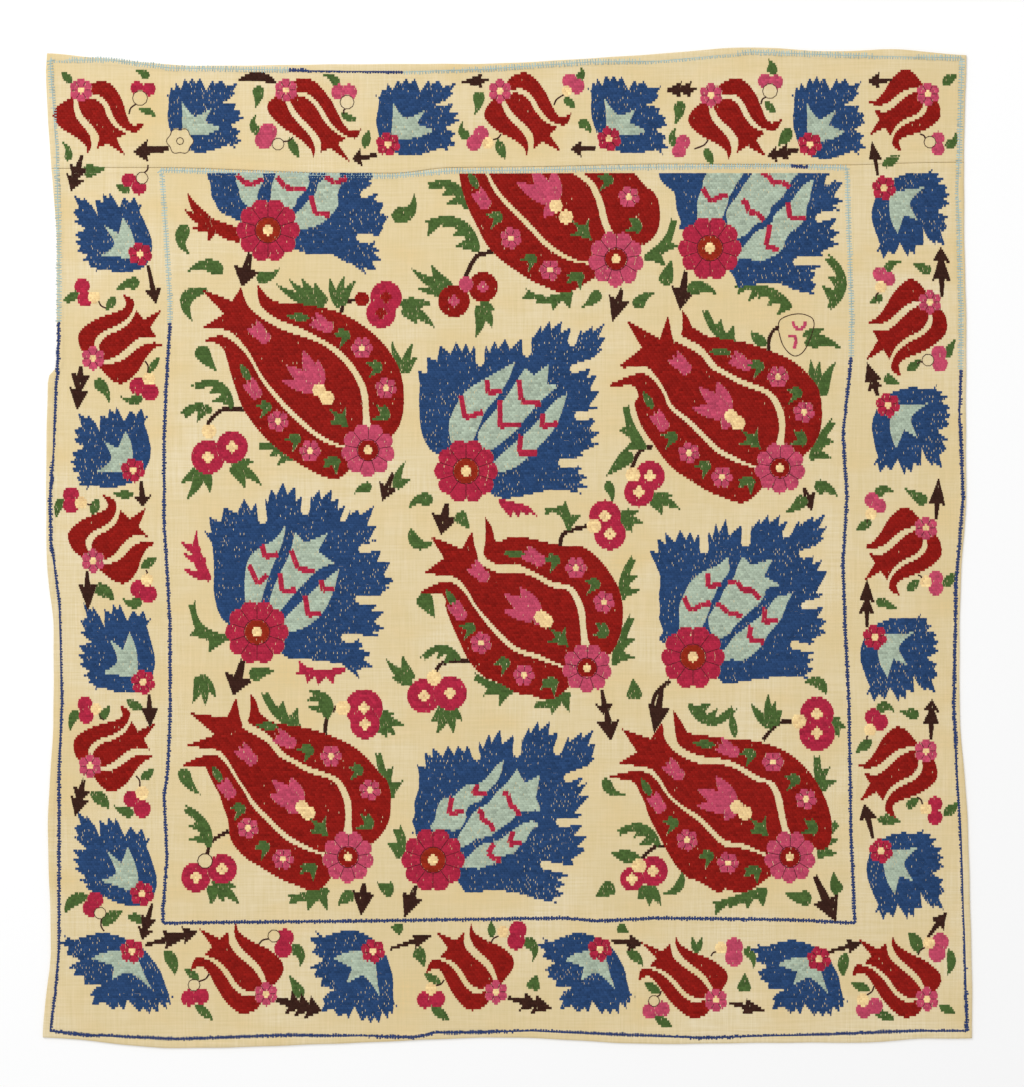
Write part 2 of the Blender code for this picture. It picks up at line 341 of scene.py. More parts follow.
LEFT_SCALLOPS = (
    ((-32, 54), (-24, 46), (-16, 45), (-6, 50)), ((8, 52), (16, 42), (25, 40), (37, 41)),
    ((56, 53), (66, 46), (78, 51)), ((42, 33), (46, 16), (61, 14)),
)

# Small flowers and leaves on the petals of a big tulip, with their places in its six sewings
SewnPart = namedtuple("SewnPart", "kind size turn drawn second third fourth fifth top")
TULIP_SPRIGS = [SewnPart(*row) for row in (
    ("leaf", 23, 175, (-70, 133), (-60, 116), (-73, 114), (-81, 131), (-86, 113), (-80, 130)),
    ("bud", 25, 150, (-46, 126), (-39, 106), (-53, 111), (-63, 117), (-62, 108), (-55, 118)),
    ("barb", 15, 140, (-24, 116), (-22, 103), (-33, 109), (-40, 108), (-40, 104), (-40, 106)),
    ("flower", 11, 0, (-6, 102), (-2, 91), (-11, 100), (-17, 101), (-17, 95), (-28, 98)),
    ("barb", 14, 120, (9, 84), (17, 76), (8, 85), (10, 88), (5, 78), (-8, 80)),
    ("flower", 11, 15, (18, 62), (24, 56), (17, 66), (22, 67), (16, 58), (13, 62)),
    ("barb", 17, 95, (17, 37), (22, 30), (17, 38), (21, 35), (23, 30), (21, 34)),
    ("leaf", 20, 120, (-123, 78), (-132, 68), (-136, 70), (-131, 83), (-144, 70), (-143, 79)),
    ("bud", 22, 125, (-115, 61), (-120, 47), (-129, 57), (-121, 68), (-133, 54), (-134, 60)),
    ("barb", 14, 130, (-102, 44), (-108, 32), (-117, 41), (-108, 49), (-117, 35), (-119, 43)),
    ("flower", 11, 20, (-90, 29), (-91, 15), (-106, 25), (-100, 29), (-103, 17), (-105, 21)),
    ("barb", 14, 145, (-73, 12), (-75, 3), (-83, 6), (-84, 11), (-82, 2), (-85, 1)),
    ("flower", 11, 5, (-58, -1), (-58, -9), (-63, -7), (-65, -2), (-62, -6), (-66, -11)),
    ("barb", 18, 175, (-36, -11), (-33, -13), (-37, -14), (-39, -10), (-37, -13), (-40, -17)),
    ("bud", 25, 135, (-108, 117), (-99, 104), (-108, 96), (-101, 102), (-116, 87), (-125, 105)),
)]
# Parts of the mauve flower on its middle petal
TULIP_HEART = [Anchor(*row) for row in (
    ("joint", (-50, 60), (-50, 53), (-46, 51), (-47, 51), (-54, 51), (-61, 55)),
    ("right tip", (-50, 90), (-63, 87), (-67, 81), (-57, 80), (-74, 81), (-62, 90)),
    ("middle tip", (-65, 100), (-81, 81), (-83, 74), (-76, 77), (-92, 67), (-85, 92)),
    ("left tip", (-82, 85), (-88, 60), (-84, 57), (-79, 62), (-93, 51), (-100, 77)),
    ("bottom", (-86, 69), (-57, 38), (-52, 44), (-61, 45), (-66, 37), (-72, 42)),
    ("far calyx", (-49, 60), (-49, 52), (-46, 51), (-46, 50), (-53, 50), (-60, 53)),
    ("calyx", (-41, 52), (-42, 45), (-41, 47), (-40, 44), (-45, 44), (-50, 42)),
    ("leaf", (-28, 34), (-28, 31), (-27, 33), (-28, 32), (-30, 32), (-33, 31)),
)]

# Where the motifs stand: rosette, shift of the petals, turn in degrees, stretch along and
# across the motif, and how far it leans
Placing = namedtuple("Placing", "x y shift_x shift_y turn along across lean")
Rosette = namedtuple("Rosette", "x y radius sewing")
BIG_TULIPS = [Rosette(*row) for row in (
    (616, 259, 28, "top"), (368, 450, 27, "drawn"), (780, 468, 25.5, "second"),
    (587, 668, 25, "third"), (348, 857, 26, "fourth"), (790, 857, 26, "fifth"),
)]
BlueFlower = namedtuple("BlueFlower", "x y sewing marks")
SQUARE_BLUES = [BlueFlower(*row) for row in (
    (467, 470, "drawn", SQUARE_HOOKS), (694, 656, "second", ZIGZAGS),
    (434, 859, "third", BENT_ZIGZAGS), (711, 247, "top", RIGHT_SCALLOPS),
)]
FAN_BLUES = [BlueFlower(*row) for row in (
    (258, 631, "drawn", FAN_HOOKS), (269, 229, "top", LEFT_SCALLOPS),
)]

SMALL_TULIPS = [Placing(*row) for row in (
    (81, 90, -2, 5, -98, 1.00, 0.85, 0.19), (286, 90, 2, 1, -94, 1.26, 0.71, 0.21),
    (500, 91, 4, 0, -92, 1.11, 0.81, 0.06), (711, 95, 2, 1, -94, 1.07, 0.89, 0.13),
    (928, 94, -2, -2, 172, 0.95, 0.79, 0.10), (93, 358, 3, 2, -8, 1.10, 0.87, 0.04),
    (93, 561, -1, 0, -1, 1.00, 0.98, -0.01), (90, 766, -1, 1, -12, 1.07, 0.85, 0.05),
    (266, 994, -2, -1, 90, 1.22, 0.86, 0.05), (496, 992, -2, -3, 90, 1.08, 0.88, 0.03),
    (716, 1000, -4, -1, 96, 1.21, 0.76, 0.09), (927, 999, -3, 1, 92, 1.20, 0.75, 0.10),
    (930, 302, 2, 2, 175, 1.16, 0.85, 0.18), (926, 528, 0, 2, 174, 1.07, 0.81, 0.10),
    (926, 751, -5, 0, 174, 1.06, 0.86, 0.11),
)]
SMALL_BLUES = [Placing(*row) for row in (
    (180, 141, 3, -6, -91, 0.97, 0.94, -0.04), (388, 144, 4, -6, -94, 1.08, 0.97, -0.09),
    (609, 139, -1, -6, -93, 0.90, 1.07, -0.04), (810, 144, -2, -4, -87, 1.01, 0.98, 0.09),
    (140, 254, -4, 4, 0, 1.14, 0.87, -0.05), (133, 470, -2, 1, -2, 1.00, 1.04, -0.03),
    (143, 682, -6, -4, -9, 1.18, 0.93, -0.15), (142, 894, -4, -1, -8, 1.33, 0.86, 0.01),
    (132, 951, 2, 2, 97, 0.86, 1.35, -0.12), (373, 951, 1, 3, 93, 1.01, 1.20, 0.11),
    (600, 949, 3, 3, 99, 0.92, 1.17, 0.02), (819, 959, -2, 0, 94, 0.87, 1.16, -0.09),
    (884, 188, 6, 5, 182, 0.97, 1.08, -0.08), (888, 405, 4, 0, 174, 1.03, 1.07, -0.14),
    (875, 637, 3, -1, 181, 1.04, 1.03, -0.08), (881, 851, 2, 1, 182, 1.07, 1.02, -0.13),
)]

# Leaves from head to tail. A comma has a round head, a leaf two points, and a comb has teeth.
# The bend is to the left as one looks from head to tail, and teeth below zero are on the right
Leaf = namedtuple("Leaf", "kind head_x head_y tail_x tail_y width bend teeth thread",
                  defaults=(0, 0, "green"))
FIELD_LEAVES = [Leaf(*row) for row in (
    ("comb", 569, 530, 543, 515, 11, -0.42, -3), ("comma", 188, 225, 191, 255, 14, -0.28),
    ("comma", 223, 273, 186, 273, 14, -0.22), ("comma", 256, 277, 280, 268, 12, -0.15),
    ("comma", 391, 215, 414, 193, 17, -0.32), ("comb", 467, 209, 424, 185, 12, -0.25, 3),
    ("comb", 478, 251, 422, 223, 13, -0.25, 4), ("comb", 572, 291, 525, 288, 10, 0.22, 4),
    ("comma", 599, 291, 581, 307, 12, 0.1), ("comma", 636, 309, 655, 293, 13, 0.15),
    ("comb", 644, 258, 671, 217, 12, -0.2, -3), ("comma", 664, 285, 672, 259, 15),
    ("comma", 687, 291, 718, 296, 14, 0.2), ("comb", 791, 308, 734, 287, 12, -0.12, 5),
    ("comb", 829, 308, 827, 253, 13, -0.24, 3), ("leaf", 209, 290, 193, 322, 13, -0.45),
    ("comma", 199, 346, 217, 371, 16, -0.05), ("comb", 232, 408, 190, 386, 11, -0.28, 3),
    ("comb", 212, 411, 179, 414, 10, -0.15, 2), ("comb", 293, 460, 257, 443, 11, -0.1, 3),
    ("comma", 372, 488, 354, 494, 11, -0.15), ("comma", 457, 513, 470, 529, 14),
    ("comma", 433, 502, 408, 510, 13, -0.25), ("leaf", 411, 528, 434, 543, 12, -0.34),
    ("comma", 421, 594, 435, 618, 17), ("comb", 737, 344, 702, 309, 11, 0.1, -3),
    ("leaf", 768, 344, 751, 331, 11, 0.1), ("comb", 811, 460, 832, 418, 12, 0, -3),
    ("comma", 814, 487, 838, 497, 14, 0.15), ("comma", 805, 496, 785, 512, 13, 0.1),
    ("comb", 646, 449, 629, 404, 12, 0.14, 3), ("comma", 632, 452, 606, 476, 15),
    ("comma", 606, 482, 612, 504, 10, 0.1), ("comb", 623, 600, 632, 555, 12, 0.05, -3),
    ("comb", 614, 665, 630, 614, 12, 0, -3), ("comb", 460, 660, 420, 658, 10, -0.25, 3),
    ("comb", 513, 692, 475, 673, 12, 0.1, 3), ("comb", 570, 693, 532, 703, 11, 0.12, 3),
    ("comma", 635, 700, 633, 678, 16), ("comb", 210, 580, 197, 530, 12, 0.12, 0, "crimson"),
    ("comb", 230, 638, 195, 600, 12, 0.3, 3), ("comma", 250, 678, 276, 672, 14, 0.12),
    ("comb", 301, 728, 261, 692, 12, 0.08, -3), ("comb", 326, 718, 309, 691, 14, -0.28, 2),
    ("comb", 393, 798, 375, 752, 11, 0, -3), ("comb", 397, 858, 400, 825, 11, -0.1, 2),
    ("comma", 182, 768, 201, 795, 13, -0.1), ("comb", 209, 847, 185, 805, 13, -0.12, 3),
    ("comb", 328, 889, 288, 896, 14, 0.1, 3), ("comma", 394, 890, 377, 882, 15, 0.1),
    ("comma", 354, 894, 338, 906, 14, -0.1), ("comb", 689, 704, 738, 708, 12, -0.3, 3),
    ("leaf", 735, 738, 731, 712, 8), ("leaf", 826, 694, 803, 684, 11, -0.3),
    ("comb", 824, 792, 814, 756, 12, 0, -3), ("comb", 820, 859, 836, 820, 12, 0.05, -3),
    ("comma", 840, 893, 834, 871, 13, 0.1), ("comma", 812, 897, 785, 893, 15, 0.1),
    ("comb", 767, 889, 711, 903, 11, 0.05, 4), ("comb", 659, 846, 615, 832, 11, -0.25, 3),
    ("leaf", 642, 860, 611, 853, 13), ("leaf", 682, 872, 662, 894, 9, 0.25),
    ("comma", 614, 885, 595, 897, 16), ("comma", 605, 778, 627, 794, 11, -0.25),
)]

# Sprays of pointed leaves from one base
Spray = namedtuple("Spray", "thread width base tips")
SPRAYS = [Spray(*row) for row in (
    ("red", 15, (241, 236), ((200, 212),)), ("red", 10, (210, 222), ((187, 192), (184, 209))),
    ("red", 8, (212, 226), ((191, 227), (207, 242))),
    ("crimson", 8, (201, 551), ((180, 541),)), ("crimson", 8, (206, 562), ((182, 552),)),
    ("crimson", 9, (209, 576), ((183, 568),)),
    ("green", 12, (450, 288), ((411, 268), (431, 264), (417, 288))),
    ("green", 12, (480, 306), ((475, 338), (492, 328), (495, 311))),
    ("green", 12, (403, 308), ((419, 299), (433, 304), (417, 325), (435, 328))),
    ("green", 10, (341, 306), ((330, 277), (345, 275), (357, 280))),
    ("green", 12, (325, 304), ((275, 283), (289, 279), (301, 277), (315, 282))),
    ("green", 12, (201, 467), ((180, 482), (186, 500), (210, 493))),
    ("green", 12, (232, 466), ((254, 462), (262, 486), (245, 489))),
    ("green", 8, (396, 487), ((406, 461), (411, 480))),
    ("green", 9, (405, 372), ((392, 340), (414, 342), (418, 357))),
    ("green", 12, (806, 339), ((824, 329), (842, 349), (818, 349))),
    ("green", 12, (822, 396), ((811, 359), (820, 361), (836, 362))),
    ("green", 11, (652, 499), ((673, 496), (681, 510), (662, 515))),
    ("green", 11, (621, 521), ((629, 509), (644, 524), (632, 532), (639, 511))),
    ("green", 12, (445, 707), ((430, 722), (436, 734), (453, 734), (462, 721))),
    ("green", 11, (412, 680), ((386, 659), (403, 655), (391, 676))),
    ("green", 11, (199, 677), ((216, 698), (205, 706), (192, 703))),
    ("green", 12, (375, 722), ((395, 713), (406, 727), (387, 738), (396, 736))),
    ("green", 12, (212, 885), ((237, 888), (240, 905), (224, 903), (210, 905))),
    ("green", 11, (773, 726), ((751, 703), (769, 693), (776, 701), (783, 709))),
    ("green", 10, (831, 725), ((841, 717), (847, 729), (839, 737))),
    ("green", 12, (646, 886), ((637, 900), (649, 906), (661, 906))),
)]

# Leaves of the border, and a brown crescent over the second tulip
BORDER_LEAVES = [Leaf(*row) for row in (
    ("leaf", 72, 83, 61, 71, 8), ("comma", 147, 79, 134, 72, 9, -0.25),
    ("leaf", 139, 109, 156, 117, 7, 0.1), ("comma", 67, 161, 61, 141, 8, -0.2),
    ("leaf", 277, 84, 237, 81, 9, -0.16, 0, "brown"), ("comma", 257, 86, 255, 108, 12, 0.1),
    ("comma", 260, 133, 257, 114, 9, 0.3), ("leaf", 289, 138, 299, 158, 9),
    ("comma", 338, 85, 322, 75, 9, -0.15), ("leaf", 341, 113, 358, 119, 7, -0.1),
    ("leaf", 364, 148, 369, 130, 9), ("comma", 478, 91, 474, 115, 12, 0.1),
    ("comma", 470, 137, 463, 121, 10, 0.3), ("leaf", 497, 140, 505, 159, 10),
    ("comma", 576, 79, 580, 66, 9, -0.3), ("leaf", 563, 99, 575, 109, 8, 0.1),
    ("comma", 578, 123, 591, 134, 11, 0.2), ("comma", 679, 101, 674, 125, 12, 0.1),
    ("comma", 677, 146, 677, 127, 9, 0.25), ("leaf", 705, 148, 713, 165, 9),
    ("comma", 771, 74, 768, 59, 11, -0.15), ("leaf", 765, 102, 776, 113, 8),
    ("leaf", 789, 127, 778, 145, 12, 0.1), ("leaf", 943, 85, 958, 76, 10, 0.1),
    ("comma", 945, 145, 955, 131, 10, -0.3), ("leaf", 882, 166, 900, 156, 10),
    ("comma", 83, 172, 107, 168, 13), ("comma", 130, 189, 115, 183, 9, 0.15),
    ("comma", 140, 283, 115, 291, 12, -0.1), ("leaf", 78, 291, 62, 301, 9, 0.1),
    ("leaf", 115, 297, 106, 310, 9), ("comma", 142, 396, 120, 396, 10, 0.2),
    ("leaf", 148, 373, 160, 356, 7), ("comma", 94, 381, 109, 404, 12, 0.15),
    ("comma", 64, 500, 57, 519, 10, -0.15), ("leaf", 92, 514, 98, 498, 10),
    ("leaf", 134, 494, 113, 493, 8, 0.05), ("comma", 141, 599, 122, 597, 11, 0.3),
    ("leaf", 141, 568, 157, 557, 9), ("leaf", 91, 588, 114, 601, 13, 0.15),
    ("comma", 78, 711, 70, 732, 10, -0.1), ("leaf", 100, 720, 110, 706, 9),
    ("leaf", 143, 708, 126, 698, 9, 0.1), ("leaf", 141, 780, 154, 769, 9),
    ("comma", 134, 813, 113, 805, 10, 0.1), ("leaf", 90, 793, 109, 809, 13, 0.1),
    ("leaf", 89, 897, 65, 914, 12, -0.2), ("leaf", 103, 926, 123, 911, 12, 0.1),
    ("leaf", 127, 917, 148, 925, 9, 0.1), ("leaf", 164, 950, 175, 975, 12, 0.1),
    ("leaf", 199, 979, 184, 969, 8), ("leaf", 195, 1004, 213, 1020, 9),
    ("comma", 290, 947, 299, 968, 12, 0.3), ("comma", 302, 997, 289, 975, 12),
    ("comma", 403, 930, 390, 926, 11), ("comma", 415, 949, 424, 968, 13, 0.1),
    ("leaf", 441, 984, 424, 974, 9), ("leaf", 431, 1006, 450, 1021, 10),
    ("leaf", 492, 938, 491, 921, 8), ("comma", 523, 940, 532, 962, 12, 0.3),
    ("comma", 532, 990, 537, 974, 14), ("comma", 618, 926, 629, 933, 11),
    ("leaf", 626, 951, 643, 966, 10, 0.1), ("leaf", 696, 953, 692, 937, 6),
    ("leaf", 697, 953, 702, 937, 6), ("leaf", 660, 993, 644, 982, 9), ("leaf", 655, 1017, 673, 1028, 9),
    ("comma", 744, 949, 753, 969, 10, 0.2), ("comma", 744, 992, 745, 973, 14),
    ("leaf", 847, 953, 844, 977, 11, -0.1), ("leaf", 870, 990, 851, 983, 9),
    ("leaf", 874, 1012, 895, 1019, 9), ("leaf", 919, 953, 908, 932, 13, -0.1),
    ("leaf", 948, 949, 947, 975, 9, 0.15), ("leaf", 939, 1005, 956, 1014, 9),
    ("comma", 931, 272, 912, 263, 11), ("comma", 886, 272, 902, 262, 9, 0.2),
    ("comma", 883, 298, 869, 304, 8, -0.1), ("comma", 945, 357, 956, 338, 10),
    ("leaf", 907, 371, 921, 360, 9), ("comma", 884, 377, 900, 384, 10),
    ("comma", 927, 503, 904, 488, 12), ("comma", 876, 497, 895, 493, 10, 0.3),
    ("leaf", 872, 521, 856, 530, 9), ("leaf", 943, 587, 957, 572, 10), ("leaf", 907, 591, 920, 579, 9),
    ("comma", 876, 600, 898, 609, 10), ("comma", 919, 716, 898, 710, 11),
    ("comma", 877, 711, 895, 714, 10, 0.35), ("leaf", 872, 740, 856, 752, 10),
    ("leaf", 944, 816, 958, 803, 10), ("leaf", 906, 807, 919, 799, 9),
    ("leaf", 877, 820, 901, 822, 10, 0.05),
)]

# Brown stems and arrowheads, from the tail to the tip, with the places of one to three barbs
Arrow = namedtuple("Arrow", "tail_x tail_y tip_x tip_y width first second third", defaults=(0, 0))
ARROWS = [Arrow(*row) for row in (
    (250, 253, 242, 287, 28, 0.45), (447, 503, 441, 535, 28, 0.4), (686, 271, 680, 310, 25, 0.45),
    (243, 660, 233, 696, 30, 0.45), (393, 473, 382, 501, 20, 0.45), (622, 289, 612, 322, 22, 0.3),
    (602, 690, 606, 718, 18, 0.5), (606, 708, 611, 741, 23, 0.4), (662, 688, 654, 733, 23, 0.4),
    (416, 886, 404, 918, 22, 0.3), (364, 883, 361, 916, 24, 0.28), (815, 876, 836, 922, 28, 0.5),
    (804, 488, 812, 511, 20, 0.3),
    (169, 149, 133, 152, 23, 0.59), (377, 155, 352, 159, 19, 0.62), (596, 148, 570, 149, 17, 0.56),
    (799, 150, 767, 156, 17, 0.34, 0.69), (892, 80, 867, 81, 17, 0.50), (697, 89, 665, 90, 16, 0.19, 0.5),
    (878, 176, 872, 141, 14, 0.46), (82, 155, 71, 191, 20, 0.33, 0.61), (148, 266, 156, 304, 18, 0.6),
    (81, 366, 77, 411, 20, 0.18, 0.51), (141, 481, 143, 507, 19, 0.57), (87, 572, 88, 611, 19, 0.33),
    (149, 694, 150, 728, 18, 0.4), (84, 779, 75, 816, 19, 0.26, 0.53), (152, 904, 142, 940, 17, 0.36, 0.68),
    (145, 945, 198, 932, 18, 0.36, 0.72), (276, 1000, 322, 1011, 25, 0.27, 0.47, 0.68),
    (390, 949, 433, 935, 15, 0.55), (508, 998, 553, 1009, 20, 0.32, 0.57), (611, 941, 643, 944, 18, 0.55),
    (729, 1003, 766, 1011, 16, 0.42), (828, 952, 862, 943, 15, 0.58), (928, 937, 947, 912, 17, 0.5),
    (942, 296, 941, 247, 19, 0.32, 0.69), (878, 396, 867, 362, 17, 0.2, 0.45), (936, 520, 939, 477, 17, 0.37),
    (867, 628, 867, 579, 16, 0.3, 0.54), (931, 740, 932, 699, 17, 0.4, 0.7), (873, 838, 864, 803, 18, 0.55),
    (489, 80, 461, 82, 14, 0.25),
)]

# Stems as lines of thread, with their width
Stem = namedtuple("Stem", "width points")
STEMS = [Stem(*row) for row in (
    (4, ((244, 410), (222, 410), (207, 424))), (4, ((341, 312), (346, 302), (362, 299))),
    (3.4, ((769, 353), (769, 340), (773, 331), (779, 327))),
    (4, ((653, 446), (640, 451), (632, 468))), (4, ((560, 546), (562, 536), (569, 531), (588, 526))),
    (4, ((472, 661), (452, 661), (440, 665), (435, 673))),
    (3.6, ((763, 740), (772, 729), (782, 722), (793, 721))),
    (3.6, ((670, 846), (655, 847), (641, 859))), (4.4, ((496, 252), (477, 256), (464, 280))),
    (3.6, ((207, 855), (212, 841), (229, 831))), (4, ((325, 736), (326, 722), (331, 712), (338, 707))),
    (4, ((670, 681), (657, 692), (652, 706))),
)]

# Double fruits of the field: the two lobes with their radius, the calyx and its thread
Fruit = namedtuple("Fruit", "x1 y1 r1 x2 y2 r2 calyx_x calyx_y calyx thread")
FRUITS = [Fruit(*row) for row in (
    (208, 457, 17, 232, 447, 16, 209, 431, "cream", "crimson"),
    (386, 297, 16, 381, 313, 15, 362, 299, "red", "crimson"),
    (483, 287, 15, 454, 301, 16, 466, 284, "mauve", "red"),
    (650, 476, 15, 639, 492, 15, 633, 475, "cream", "crimson"),
    (605, 516, 16, 610, 534, 16, 594, 526, "cream", "crimson"),
    (424, 696, 17, 450, 693, 17, 434, 678, "cream", "crimson"),
    (817, 714, 17, 817, 733, 18, 799, 721, "cream", "crimson"),
    (653, 871, 15, 632, 879, 12, 639, 866, "cream", "crimson"),
    (196, 877, 15, 222, 869, 15, 205, 861, "linen", "crimson"),
    (364, 708, 19, 365, 724, 15, 343, 708, "cream", "crimson"),
)]
# Outline and marks of the fruit that was drawn and left unsewn
UNSEWN_FRUIT = knots(
    (778, 328, 1), (780, 320, 0), (790, 315, 0), (802, 314, 0), (812, 318, 0), (814, 326, 0),
    (808, 344, 0), (802, 353, 0), (795, 356, 0), (788, 352, 0), (782, 343, 0),
)
UNSEWN_MARKS = (
    ((793, 322), (795, 327), (800, 329), (805, 325), (805, 321)),
    ((788, 336), (794, 336), (796, 341), (794, 348)),
)

# Crimson sprigs with a row of teeth, under two of the blue flowers
TOOTHED_SPRIGS = (
    knots((498, 498, 1), (505, 500, 0), (517, 503, 0), (528, 506, 0), (533, 511, 0), (538, 517, 1),
          (529, 512, 1), (528, 516, 1), (521, 511, 1), (519, 518, 1), (513, 511, 1), (511, 518, 1),
          (505, 511, 0), (500, 505, 0)),
    knots((293, 674, 1), (299, 671, 0), (298, 659, 1), (303, 664, 0), (309, 668, 0), (322, 669, 0),
          (346, 668, 1), (345, 672, 1), (334, 676, 1), (334, 685, 1), (326, 677, 1), (318, 685, 1),
          (315, 676, 1), (307, 683, 1), (304, 674, 0)),
)

# Buds of the border: their two lobes, the calyx, what it is sewn in and the stem's far end
Bud = namedtuple("Bud", "thread x1 y1 x2 y2 radius calyx calyx_x calyx_y size stem_x stem_y")
BUDS = [Bud(*row) for row in (
    ("crimson", 137, 88, 149, 89, 6.8, "bare", 140, 98, 7.5, 129, 114),
    ("mauve", 268, 132, 264, 140, 9.2, "bare", 278, 144, 6.0, 293, 137),
    ("mauve", 339, 92, 349, 92, 8.0, "bare", 347, 102, 7.0, 344, 114),
    ("mauve", 481, 134, 474, 143, 7.8, "cream", 488, 143, 6.0, 501, 134),
    ("mauve", 570, 81, 577, 86, 7.8, "cream", 567, 91, 5.0, 554, 105),
    ("mauve", 683, 142, 679, 151, 7.2, "linen", 691, 151, 4.0, 708, 140),
    ("mauve", 765, 81, 776, 82, 7.2, "bare", 770, 91, 7.5, 761, 104),
    ("mauve", 938, 138, 938, 149, 6.6, "bare", 930, 142, 6.0, 920, 134),
    ("crimson", 129, 180, 139, 187, 7.6, "bare", 142, 178, 6.0, 148, 165),
    ("crimson", 82, 286, 85, 299, 7.8, "cream", 94, 297, 6.2, 106, 308),
    ("crimson", 138, 386, 150, 392, 8.8, "cream", 149, 379, 6.6, 145, 361),
    ("crimson", 71, 495, 71, 505, 8.4, "cream", 81, 503, 6.4, 92, 504),
    ("crimson", 139, 589, 148, 594, 9.0, "cream", 147, 580, 6.2, 146, 570),
    ("crimson", 85, 704, 86, 716, 7.6, "cream", 96, 709, 5.6, 104, 720),
    ("crimson", 132, 799, 142, 809, 8.8, "cream", 142, 793, 6.8, 136, 776),
    ("crimson", 95, 900, 91, 908, 8.6, "bare", 100, 913, 6.0, 104, 931),
    ("crimson", 189, 998, 201, 996, 8.2, "bare", 194, 985, 6.0, 209, 974),
    ("crimson", 285, 938, 283, 949, 9.0, "bare", 274, 936, 6.2, 259, 944),
    ("crimson", 425, 1000, 437, 999, 8.4, "cream", 431, 989, 6.0, 444, 980),
    ("crimson", 518, 930, 516, 941, 9.0, "cream", 503, 932, 6.0, 491, 943),
    ("mauve", 650, 1011, 662, 1009, 7.8, "bare", 654, 1001, 5.6, 661, 991),
    ("mauve", 734, 947, 734, 957, 9.2, "cream", 721, 948, 6.2, 711, 956),
    ("mauve", 864, 1010, 875, 1006, 8.2, "cream", 863, 1000, 6.4, 874, 986),
    ("mauve", 940, 942, 937, 953, 8.8, "cream", 929, 943, 6.2, 918, 955),
    ("mauve", 880, 274, 888, 279, 7.4, "cream", 881, 287, 6.0, 876, 299),
    ("mauve", 939, 353, 940, 364, 7.8, "bare", 928, 360, 6.0, 917, 364),
    ("mauve", 872, 500, 879, 506, 7.6, "cream", 871, 514, 6.0, 867, 523),
    ("mauve", 936, 578, 936, 588, 7.4, "cream", 926, 582, 6.0, 918, 575),
    ("crimson", 873, 717, 880, 722, 8.4, "cream", 870, 730, 6.2, 867, 740),
    ("crimson", 935, 804, 935, 817, 7.6, "cream", 926, 809, 6.0, 917, 797),
)]

# Frames: points of the stitched line and the tone of the thread after each
FramePoint = namedtuple("FramePoint", "x y tone")


def same_tone(tone, *points):
    """Points of a frame that one thread is sewn along."""
    return [FramePoint(x, y, tone) for x, y in points]


OUTER_FRAME = [
    *same_tone("pale", (50, 60), (110, 60), (170, 68)),
    *same_tone("navy", (289, 70)),
    *same_tone("pale", (403, 72), (487, 69), (589, 62), (660, 61), (752, 52), (834, 55), (962, 58),
               (958, 190), (961, 307)),
    *same_tone("navy", (961, 370), (960, 413), (963, 498), (956, 584), (954, 705), (958, 791),
               (961, 836), (965, 949), (967, 1031), (906, 1031), (809, 1035), (700, 1038),
               (655, 1036), (532, 1031), (435, 1033), (415, 1037), (285, 1035), (180, 1039),
               (85, 1035), (50, 1031), (55, 994), (59, 945), (59, 858), (59, 768), (62, 700),
               (61, 674), (59, 600), (51, 544), (50, 500), (54, 435), (56, 383), (58, 365)),
    *same_tone("pale", (59, 322), (59, 235), (56, 148)),
]
INNER_FRAME = [
    *same_tone("pale", (160, 170), (340, 176), (394, 176), (448, 171), (535, 170), (660, 167)),
    *same_tone("navy", (791, 166)),
    *same_tone("pale", (808, 167), (847, 168), (849, 232), (852, 318)),
    *same_tone("navy", (851, 357), (850, 370), (843, 434), (847, 498), (843, 562), (845, 626),
               (849, 705), (850, 768), (851, 836), (855, 923), (797, 920), (660, 918), (596, 921),
               (566, 918), (360, 921), (163, 923), (163, 910), (167, 858), (164, 797), (168, 768),
               (170, 710), (170, 630), (168, 587), (164, 522), (164, 435), (167, 370)),
    *same_tone("pale", (170, 323), (170, 300), (166, 235), (162, 175)),
]

# Threads: middle colour in sRGB, share of joints that open on the linen, and its width of the row
Thread = namedtuple("Thread", "name red green blue fleck cover")
THREADS = [Thread(*row) for row in (
    ("red", 138, 16, 6, 0.012, 1.25), ("blue", 36, 66, 108, 0.16, 1.18),
    ("crimson", 172, 34, 62, 0.02, 1.25), ("mauve", 190, 70, 98, 0.03, 1.25),
    ("green", 72, 98, 46, 0.12, 1.22), ("brown", 54, 26, 16, 0.02, 1.25),
    ("aqua", 170, 184, 164, 0.12, 1.15), ("cream", 250, 208, 150, 0.02, 1.25),
    ("rust", 146, 36, 12, 0.06, 1.25), ("dark", 60, 28, 26, 0.0, 1.0),
    ("navy", 44, 60, 104, 0.0, 1.0), ("pale", 166, 186, 182, 0.0, 1.0),
)]


def linear(value):
    """One channel of an sRGB colour from 0 to 255, as linear light."""
    share = value / 255
    return share / 12.92 if share <= 0.04045 else ((share + 0.055) / 1.055) ** 2.4


def linear_colour(red, green, blue):
    return (linear(red), linear(green), linear(blue))


